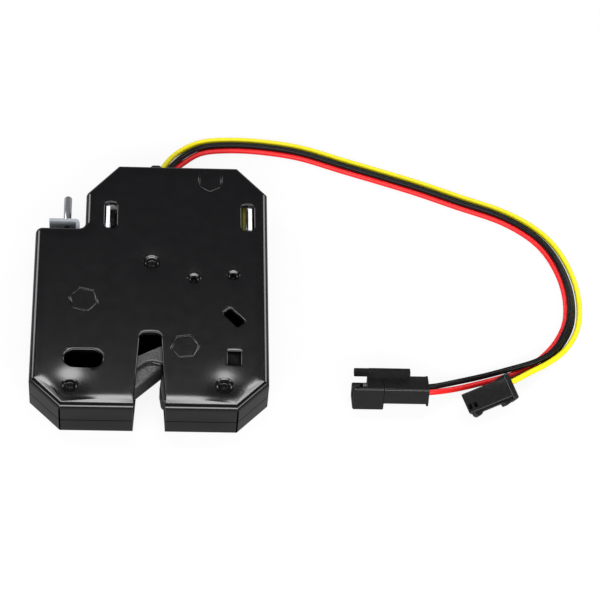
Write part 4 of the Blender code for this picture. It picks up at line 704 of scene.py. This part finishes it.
def hexagon_cutter(name, center, size, angle):
    """A shallow rounded channel along the sides of a hexagon."""
    points = []
    for off, deep in CHANNEL:
        corners = arc((0, 0), size + off, angle, angle + 300, 5)
        points += [(center[0] + x, center[1] + y, DEPTH - deep) for x, y in corners]
    faces = []
    for level in range(len(CHANNEL)):
        low, high = level * 6, (level + 1) % len(CHANNEL) * 6
        for i in range(6):
            j = (i + 1) % 6
            faces.append((high + i, high + j, low + j, low + i))
    return mesh_object(name, points, faces, PAINT)


def relief_cutters(cover):
    """Narrow slits at the sharp corners, where the flanges of the real pan don't meet."""
    cutters = []
    corners = case_corners()
    for i, (corner, radius) in enumerate(corners):
        if radius:
            continue
        corner = Vector(corner)
        before = (Vector(corners[i - 1][0]) - corner).normalized()
        after = (Vector(corners[(i + 1) % len(corners)][0]) - corner).normalized()
        towards = (before + after).normalized()
        across = Vector((-towards.y, towards.x)) * RELIEF_HALF_WIDTH
        start, end = corner - towards * OVERLAP, corner + towards * (SHEET + RELIEF_DEPTH)
        outline = [tuple(p) for p in (start - across, end - across, end + across, start + across)]
        heights = (SEAM - OVERLAP, DEPTH - COVER_BEND * 0.85) if cover else (SHELL_BEND, SEAM + OVERLAP)
        cutters.append(stack(f"relief_{i}", outline, [(heights[0], 0), (heights[1], 0)], PAINT))
    return cutters


def slider_opening():
    """The gap in the shoulder wall that the slider comes out of."""
    outline = rectangle(SLIDER_LEFT, SHOULDER_Y - INWARD, SLIDER_RIGHT, SHOULDER_Y + OVERLAP)
    return stack("slider_opening", outline, [(SLIDER_LOW, 0), (SLIDER_HIGH, 0)], PAINT)


def grommet_opening():
    """The rounded gap in the top wall round the grommet."""
    wide, high = GROMMET_BORE_HALF_WIDTH + GROMMET_WALL, GROMMET_BORE_HALF_HEIGHT + GROMMET_WALL
    loop = rounded(rectangle(-wide, -high, wide, high), high * 0.9)
    rings = []
    for y in (TOP - INWARD, TOP + PAST):
        rings.append([(GROMMET_X + x, y, GROMMET_HEIGHT + z) for x, z in reversed(loop)])
    return loft("grommet_opening", rings, PAINT)


def make_cover():
    """The front pan with its slot, windows, dimples and marks."""
    cover = pan("cover_skin", SEAM + SEAM_GAP / 2, DEPTH, COVER_BEND, True)
    past, within = DEPTH + PAST, CEILING - THROUGH
    cutters = [stack("slot_cut", slot_outline(), flare(SEAM - PAST, DEPTH, WIDE_RIM, past), PAINT)]
    for i, outline in enumerate(window_outlines()):
        rim = WIDE_RIM if i == 0 else NARROW_RIM
        cutters.append(stack(f"window_cut_{i}", outline, flare(within, DEPTH, rim, past), PAINT))
    for i, (place, radius, hole) in enumerate(RIVETS):
        profile = [(0, within), (hole, within)]
        bottom, brim = DEPTH - DIMPLE_DEPTH, radius + DIMPLE_SPREAD
        for step in range(DIMPLE_STEPS + 1):
            share = step / DIMPLE_STEPS
            wave = (1 - math.cos(math.pi * share)) / 2
            profile.append((hole + (brim - hole) * share, bottom + (DEPTH - bottom) * wave))
        profile += [(brim, past), (0, past)]
        cutters.append(turned_solid(f"rivet_cut_{i}", profile, PAINT, (*place, 0)))
    for i, (center, size, angle) in enumerate(HEXAGONS):
        cutters.append(hexagon_cutter(f"hexagon_cut_{i}", center, size - HEXAGON_INSET, angle))
    cutters += relief_cutters(True) + [slider_opening(), grommet_opening()]
    apply_cuts(cover, cutters)
    dressed(cover, "front_cover")


def back_hole(name, place, radius):
    """A cutter for a round hole through the back sheet."""
    profile = [(0, -PAST), (radius, -PAST), (radius, SHEET + THROUGH), (0, SHEET + THROUGH)]
    return turned_solid(name, profile, PAINT, (*place, 0))


def make_shell():
    """The back pan with its slot and holes."""
    shell = pan("shell_skin", SEAM - SEAM_GAP / 2, 0.0, SHELL_BEND, False)
    cutters = [stack("slot_cut_back", slot_outline(), [(-PAST, 0), (SEAM + PAST, 0)], PAINT)]
    for i, place in enumerate(SCREW_HOLES):
        cutters.append(back_hole(f"mount_cut_{i}", place, SCREW_RADIUS))
    for i, (place, _, hole) in enumerate(RIVETS):
        radius = LARGE_BACK_HOLE if hole > LARGE_HOLE else SMALL_BACK_HOLE
        cutters.append(back_hole(f"post_cut_{i}", place, radius))
    for i, (place, _, _) in enumerate(HEXAGONS):
        cutters.append(back_hole(f"stud_cut_{i}", place, STUD_BACK_HOLE))
    cutters += relief_cutters(False) + [slider_opening(), grommet_opening()]
    apply_cuts(shell, cutters)
    dressed(shell, "back_shell")


# Small pieces over their CAD solids
def dressed(piece, node, body="case"):
    """The piece, told which body it rides, with the solid it replaces hidden."""
    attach(piece, body)
    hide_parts(node)
    return piece


def make_posts():
    """The posts again, with rounded ends that sit low in the cover's dimples."""
    look = painted_end()
    names = ("latch_pivot_post", "left_post", "kicker_pivot_post", "switch_pin_left", "switch_pin_right")
    for name, (place, _, hole) in zip(names, RIVETS):
        end, middle, drop = LARGE_POST if hole > LARGE_HOLE else SMALL_POST
        top, waist = DEPTH - drop, CEILING - 0.0003
        profile = [(0, POST_BASE), (end, POST_BASE), (end, POST_STEP), (middle, POST_STEP), (middle, waist)]
        profile += [(end + 0.0001, waist), (end, top - 0.0003), (end * 0.8, top - 0.0001), (end * 0.45, top)]
        profile += [(end * 0.3, top - 0.0003), (0, top - 0.0003)]
        dressed(turned_solid(f"{name}_skin", profile, look, (*place, 0)), name)


def along_y(name, levels, center, look, steps=40):
    """A round piece along +Y from (y, radius) levels."""
    rings = []
    for y, radius in levels:
        loop = [(center[0] + x, y, center[1] + z) for x, z in arc((0, 0), radius, 0, 360 - 360 / steps, steps - 1)]
        rings.append(loop[::-1])
    return loft(name, rings, look)


def make_release_pin():
    """The pin with a longer, rounded end. It moves with the slider."""
    levels = [
        (PIN_START, PIN_NECK_RADIUS), (PIN_NECK_END, PIN_NECK_RADIUS), (PIN_NECK_END, PIN_RADIUS),
        (PIN_END - 0.0004, PIN_RADIUS), (PIN_END - 0.0001, PIN_TIP_RADIUS), (PIN_END, PIN_NECK_RADIUS),
    ]
    pin = along_y("release_pin_skin", levels, (PIN_X, PIN_HEIGHT), PIN_ZINC)
    dressed(pin, "release_pin", "release")


def make_grommet():
    """The grommet with the low bump that shows over the top edge."""
    face = TOP + 0.0003
    levels = [(TOP - 0.0030, 0.0), (face, 0.0), (face, 0.0005), (TOP + 0.0010, 0.0005), (TOP + 0.0016, 0.0001)]
    rings = []
    for y, grow in levels:
        loop = inset(rounded(GROMMET_OUTLINE, GROMMET_RADII, 4), -grow)
        rings.append([(x, y, z) for x, z in reversed(loop)])
    dressed(loft("grommet_skin", rings, RUBBER), "cable_grommet")


def make_strike_guide():
    """The bumper beside the mouth of the slot."""
    edge, top = SLOT_MOUTH - 0.0006, GUIDE_FRONT + GUIDE_LENGTH
    corners = [
        (edge - 0.0006, GUIDE_FRONT + 0.0048), (edge + 0.0006, GUIDE_FRONT + 0.0036),
        (edge + 0.0030, GUIDE_FRONT + 0.0046), (edge + 0.0030, top - 0.0016), (edge + 0.0014, top),
        (edge - 0.0006, top - 0.0012), (edge - 0.0011, GUIDE_FRONT + 0.0080),
    ]
    low, high = GUIDE_BASE, max(corner[2] for corner in nodes["strike_guide"].bound_box)
    levels = [(low, -GUIDE_BEVEL), (low + GUIDE_BEVEL, 0), (high - GUIDE_BEVEL, 0), (high, -GUIDE_BEVEL)]
    guide = stack("strike_guide_skin", rounded(corners, GUIDE_RADIUS, 5), levels, NYLON)
    dressed(guide, "strike_guide")


# Connectors, drawn in the frames of the CAD source
def laid(points, place):
    """The points of a connector in its place."""
    return [place @ Vector(p) for p in points]


def block(outline, levels, place, along="x"):
    """A loft of one outline of two coordinates at (position, growth) levels along the third."""
    loop = counter_clockwise(outline)
    rings = []
    for at, grow in levels:
        ring = inset(loop, -grow)
        if along == "x":
            rings.append(laid([(at, y, z) for y, z in ring], place))
        elif along == "y":
            rings.append(laid([(x, at, z) for x, z in reversed(ring)], place))
        else:
            rings.append(laid([(x, y, at) for x, y in ring], place))
    return rings


def merged(name, blocks, look, cutters=()):
    """One object from closed blocks; the first one is cut."""
    body = loft(name, blocks[0], look)
    if cutters:
        apply_cuts(body, [loft(f"{name}_cut_{i}", rings, look) for i, rings in enumerate(cutters)])
    pieces = [body] + [loft(f"{name}_{i}", rings, look) for i, rings in enumerate(blocks[1:])]
    points, faces = [], []
    for piece in pieces:
        start = len(points)
        points += [tuple(v.co) for v in piece.data.vertices]
        faces += [tuple(start + i for i in face.vertices) for face in piece.data.polygons]
        bpy.data.objects.remove(piece)
    return mesh_object(name, points, faces, look, CUT_SHARP)


def make_socket():
    """The socket: a dropped hood with a well, a body, a latch rail, a prong and a tongue."""
    place = Matrix.Translation(SOCKET_PLACE) @ Matrix.Rotation(math.radians(SOCKET_TILT), 4, "X")
    size, end, hood = HOUSING_SIZE, HOUSING_LENGTH + HOUSING_GROWTH, HOOD_LENGTH
    back = size + HOUSING_GROWTH
    bottom = -size - HOOD_DROP
    rings = []
    for x, low, grow in (
        (0.0000, bottom, -0.0003), (0.0003, bottom, 0), (hood - 0.0002, bottom, 0), (hood, bottom, -0.0002),
        (hood, -size + 0.0006, -0.0001), (end - 0.0006, -size + 0.0006, -0.0001), (end - 0.0006, -size + 0.0001, 0),
        (end - 0.0001, -size + 0.0001, 0), (end, -size + 0.0003, -0.0002),
    ):
        corners = rectangle(-grow, low - grow, back + grow, grow)
        loop = rounded(counter_clockwise(corners), [0.0007, 0.0007, 0.0005, 0.0005], 4)
        rings.append(laid([(x, y, z) for y, z in loop], place))
    rail = rounded(rectangle(0.0043, -0.0008, 0.0159, RAIL_TOP), [0, 0, 0.0003, 0.0003], 3)
    prong = rounded(rectangle(0.0003, RAIL_TOP - 0.0019, 0.0046, RAIL_TOP - 0.0001), 0.0003, 3)
    tongue = rounded(TONGUE, 0.0002, 3)
    depth = [(back - 0.0019, -0.0001), (back - 0.0018, 0), (back - 0.0003, 0), (back - 0.0002, -0.0001)]
    shallow = [(0.0004, -0.0001), (0.0005, 0), (0.0011, 0), (0.0012, -0.0001)]
    well = rounded(rectangle(HOOD_WALL, bottom + HOOD_WALL, back - HOOD_WALL, -HOOD_WALL), 0.0004, 3)
    notch = rectangle(0.0011, -HOOD_WALL - 0.002, back + 0.002, 0.001)
    cutters = [
        block(well, [(-0.001, 0), (hood - 0.0008, 0)], place),
        block(notch, [(-0.0011, 0), (0.0041, 0)], place),
    ]
    blocks = [
        rings,
        block(rail, depth, place, "y"),
        block(prong, depth, place, "y"),
        block(tongue, shallow, place, "y"),
    ]
    return dressed(merged("socket_skin", blocks, NYLON, cutters), "socket_housing")


def make_plug():
    """The plug: a body with a leaning end, a rim, a latch lever, a ramp and two contact windows."""
    turn = Matrix.Rotation(math.radians(PLUG_TURN), 4, "Z")
    tilt = Matrix.Rotation(math.radians(PLUG_TILT), 4, "X")
    place = Matrix.Translation(PLUG_PLACE) @ turn @ tilt
    half, end, high = PLUG_HALF_WIDTH, PLUG_LENGTH, PLUG_HEIGHT
    rings = []
    for x, lean, grow in ((0, 1, -0.0002), (0.0002, 1, 0), (end - 0.0016, 0, 0), (end - 0.0014, 0, -0.0001)):
        loop = rounded(rectangle(-half - grow, -grow, half + grow, high + grow), 0.0004, 4)
        rings.append(laid([(x + lean * PLUG_LEAN * (1 - z / high), y, z) for y, z in loop], place))
    rim = rounded(rectangle(-half - 0.0010, -0.0002, half + 0.0008, high + 0.0002), 0.0005, 3)
    lever = [
        (0.0019, -half + 0.0003), (0.0020, -half - 0.0007), (0.0026, -half - 0.0013), (0.0038, -half - 0.0012),
        (0.0046, -half - 0.0005), (0.0108, -half - 0.0005), (0.0110, -half - 0.0014), (0.0126, -half - 0.0014),
        (0.0128, -half - 0.0002), (0.0040, -half + 0.0003),
    ]
    ramp = [
        (end - 0.0046, half - 0.0003), (end - 0.0018, half - 0.0003), (end - 0.0018, half + 0.0006),
        (end - 0.0030, half + 0.0006),
    ]
    blocks = [
        rings,
        block(rim, [(end - 0.0016, -0.0002), (end - 0.0014, 0), (end - 0.0002, 0), (end, -0.0002)], place),
        block(rounded(lever, 0.0002, 3), [(0.0014, 0), (high - 0.0012, 0), (high - 0.0010, -0.0002)], place, "z"),
        block(ramp, [(0.0010, 0), (high - 0.0003, 0)], place, "z"),
    ]
    cutters = []
    for x in (0.0006, 0.0022):
        window = rounded(rectangle(x, -half + 0.0011, x + 0.0011, -half + 0.0026), 0.0002, 2)
        cutters.append(block(window, [(high - 0.0016, 0), (high + 0.001, 0)], place, "z"))
    return dressed(merged("plug_skin", blocks, NYLON, cutters), "plug_housing")


# Leads: the routes of the CAD source, from the grommet to the connectors
SHARED_LOOP = [
    (0.0136, 0.0568), (0.0222, 0.0578), (0.0314, 0.0575), (0.0432, 0.0556), (0.0549, 0.0515), (0.0667, 0.0475),
    (0.0783, 0.0434), (0.0899, 0.0387), (0.1014, 0.0343), (0.1099, 0.0288), (0.1153, 0.0226), (0.1190, 0.0139),
    (0.1204, 0.0053), (0.1197, -0.0032), (0.1173, -0.0084),
]
YELLOW_START = [(0.00145, 0.0393, 0.0060), (0.00150, 0.0430, 0.0059), (0.00265, 0.0456, 0.0050),
                (0.0040, 0.0489, 0.0037), (0.0066, 0.0537, 0.0017)]
YELLOW_END = [(0.11645, -0.0127, 0.0012), (0.11305, -0.0160, 0.0019), (0.1094, -0.0187, 0.0025),
              (0.1062, -0.0209, 0.0035), (0.1040, -0.0228, 0.0046), (0.10235, -0.02443, 0.00532),
              (0.09802, -0.02651, 0.00532)]
SIGNAL_START = [(0.0032, 0.0393, 0.0060), (0.0032, 0.0430, 0.0059), (0.00435, 0.0454, 0.0050),
                (0.00575, 0.0483, 0.0037), (0.00845, 0.0529, 0.0016)]
SIGNAL_END = [(0.11525, -0.01155, 0.00085), (0.1121, -0.01505, 0.00085), (0.1091, -0.0179, 0.00085),
              (0.1063, -0.0195, 0.0012), (0.1040, -0.0214, 0.0024), (0.10172, -0.02313, 0.0034),
              (0.0974, -0.02521, 0.0034)]
RED_START = [(0.00495, 0.0393, 0.0060), (0.00495, 0.0430, 0.0059), (0.0062, 0.0456, 0.0049),
             (0.0077, 0.0480, 0.0035), (0.0104, 0.0519, 0.0014)]
RED_END = [(0.1141, -0.0103, 0.00085), (0.1108, -0.0139, 0.00085), (0.1080, -0.0165, 0.00085),
           (0.1032, -0.01945, 0.00085), (0.1010, -0.02045, 0.00085), (0.0972, -0.0218, 0.00085),
           (0.0922, -0.0233, 0.00085), (0.0868, -0.0251, 0.0012), (0.0818, -0.0276, 0.0036),
           (0.0793, -0.0293, 0.0059), (0.0772, -0.03014, 0.00665), (0.07325, -0.03014, 0.00665)]
POWER_START = [(0.004075, 0.0393, 0.00745), (0.00408, 0.0430, 0.0074), (0.0051, 0.0453, 0.0067),
               (0.0066, 0.0481, 0.0052), (0.0095, 0.0525, 0.0030)]
POWER_END = [(0.1154, -0.01105, 0.00255), (0.11235, -0.0143, 0.00255), (0.1091, -0.0164, 0.00255),
             (0.1054, -0.0180, 0.00255), (0.1032, -0.01865, 0.0026), (0.1010, -0.0191, 0.0021),
             (0.0973, -0.0199, 0.0013), (0.0924, -0.0212, 0.0009), (0.0866, -0.0229, 0.0012),
             (0.0817, -0.0254, 0.0033), (0.0793, -0.0270, 0.0050), (0.0772, -0.02782, 0.00571),
             (0.07325, -0.02782, 0.00571)]


def beside(points, offset, height):
    """The route moved sideways by an offset, at a height."""
    spots = []
    for i, point in enumerate(points):
        before, after = Vector(points[max(i - 1, 0)]), Vector(points[min(i + 1, len(points) - 1)])
        along = (after - before).normalized()
        spots.append((point[0] - along.y * offset, point[1] + along.x * offset, height))
    return spots


def smooth_route(points, step):
    """Points at an even step along a smoothed curve through the route, and the curve's length."""
    fine = []
    spots = [Vector(p) for p in points]
    spots = [2 * spots[0] - spots[1]] + spots + [2 * spots[-1] - spots[-2]]
    for a, b, c, d in zip(spots, spots[1:], spots[2:], spots[3:]):
        for i in range(CURVE_STEPS):
            t = i / CURVE_STEPS
            fine.append(
                0.5 * (2 * b + (c - a) * t + (2 * a - 5 * b + 4 * c - d) * t * t + (3 * b - a - 3 * c + d) * t**3)
            )
    fine.append(spots[-2])
    lengths = [0.0]
    for a, b in zip(fine, fine[1:]):
        lengths.append(lengths[-1] + (b - a).length)
    count = max(3, round(lengths[-1] / step))
    even, k = [], 0
    for i in range(count + 1):
        wanted = lengths[-1] * i / count
        while k < len(fine) - 2 and lengths[k + 1] < wanted:
            k += 1
        even.append(fine[k].lerp(fine[k + 1], (wanted - lengths[k]) / (lengths[k + 1] - lengths[k])))
    for _ in range(SMOOTHING_PASSES):
        threes = zip(even[HELD - 1:], even[HELD:-HELD], even[HELD + 1:])
        even = even[:HELD] + [(a + 2 * b + c) / 4 for a, b, c in threes] + even[-HELD:]
    return even, lengths[-1]


def make_leads(plug, socket):
    """The four free leads. Each is a smooth round tube that ends in its own connector."""
    for name, start, end, offset, height, look, slot, connector, contact in (
        ("wire_yellow", YELLOW_START, YELLOW_END, LEAD_SPACING, LEAD_REST, YELLOW, "yellow_insulation", plug,
         "plug_contact_2"),
        ("wire_black_signal", SIGNAL_START, SIGNAL_END, 0, LEAD_REST, BLACK, "black_insulation", plug,
         "plug_contact_1"),
        ("wire_red", RED_START, RED_END, -LEAD_SPACING, LEAD_REST, RED, "red_insulation", socket,
         "socket_contact_2"),
        ("wire_black_power", POWER_START, POWER_END, -LEAD_SPACING / 2, LEAD_ON_TOP, BLACK, "black_insulation",
         socket, "socket_contact_1"),
    ):
        route, length = smooth_route(start + beside(SHARED_LOOP, offset, height) + end, ROUTE_STEP)
        data = bpy.data.curves.new(name + "_skin", "CURVE")
        data.dimensions = "3D"
        data.bevel_depth = LEAD / 2
        data.bevel_resolution = 6
        data.use_fill_caps = True
        spline = data.splines.new("POLY")
        spline.points.add(len(route) - 1)
        for spot, place in zip(spline.points, route):
            spot.co = (*place, 1)
        spline.use_smooth = True
        data.materials.append(look)
        lead = bpy.data.objects.new(name + "_skin", data)
        bpy.context.scene.collection.objects.link(lead)
        dressed(lead, name)


set_camera()
set_world()
lamp("overhead_strip", (0.02, 0.33, 0.87), (0.0, -0.02, 0), (0.6, 0.12), 2.3)
lamp("front_softbox", (0.04, -0.75, 0.55), (0.02, 0, 0), (1.15, 0.34), 8.6)
lamp("left_softbox", (-0.70, 0.60, 0.52), (0, 0, 0), (0.30, 0.5), 2.1)
lamp("right_softbox", (0.76, 0.60, 0.52), (0, 0, 0), (0.30, 0.5), 2.1)
lamp("left_front_softbox", (-0.70, -0.52, 0.50), (0, 0, 0), (0.60, 0.26), 2.3)
lamp("right_front_softbox", (0.76, -0.52, 0.50), (0, 0, 0), (0.60, 0.26), 2.3)
make_floor()
dress_nodes()
make_leads(make_plug(), make_socket())
make_cover()
make_shell()
make_posts()
make_release_pin()
make_grommet()
make_strike_guide()

bpy.context.scene.view_settings.view_transform = "Standard"
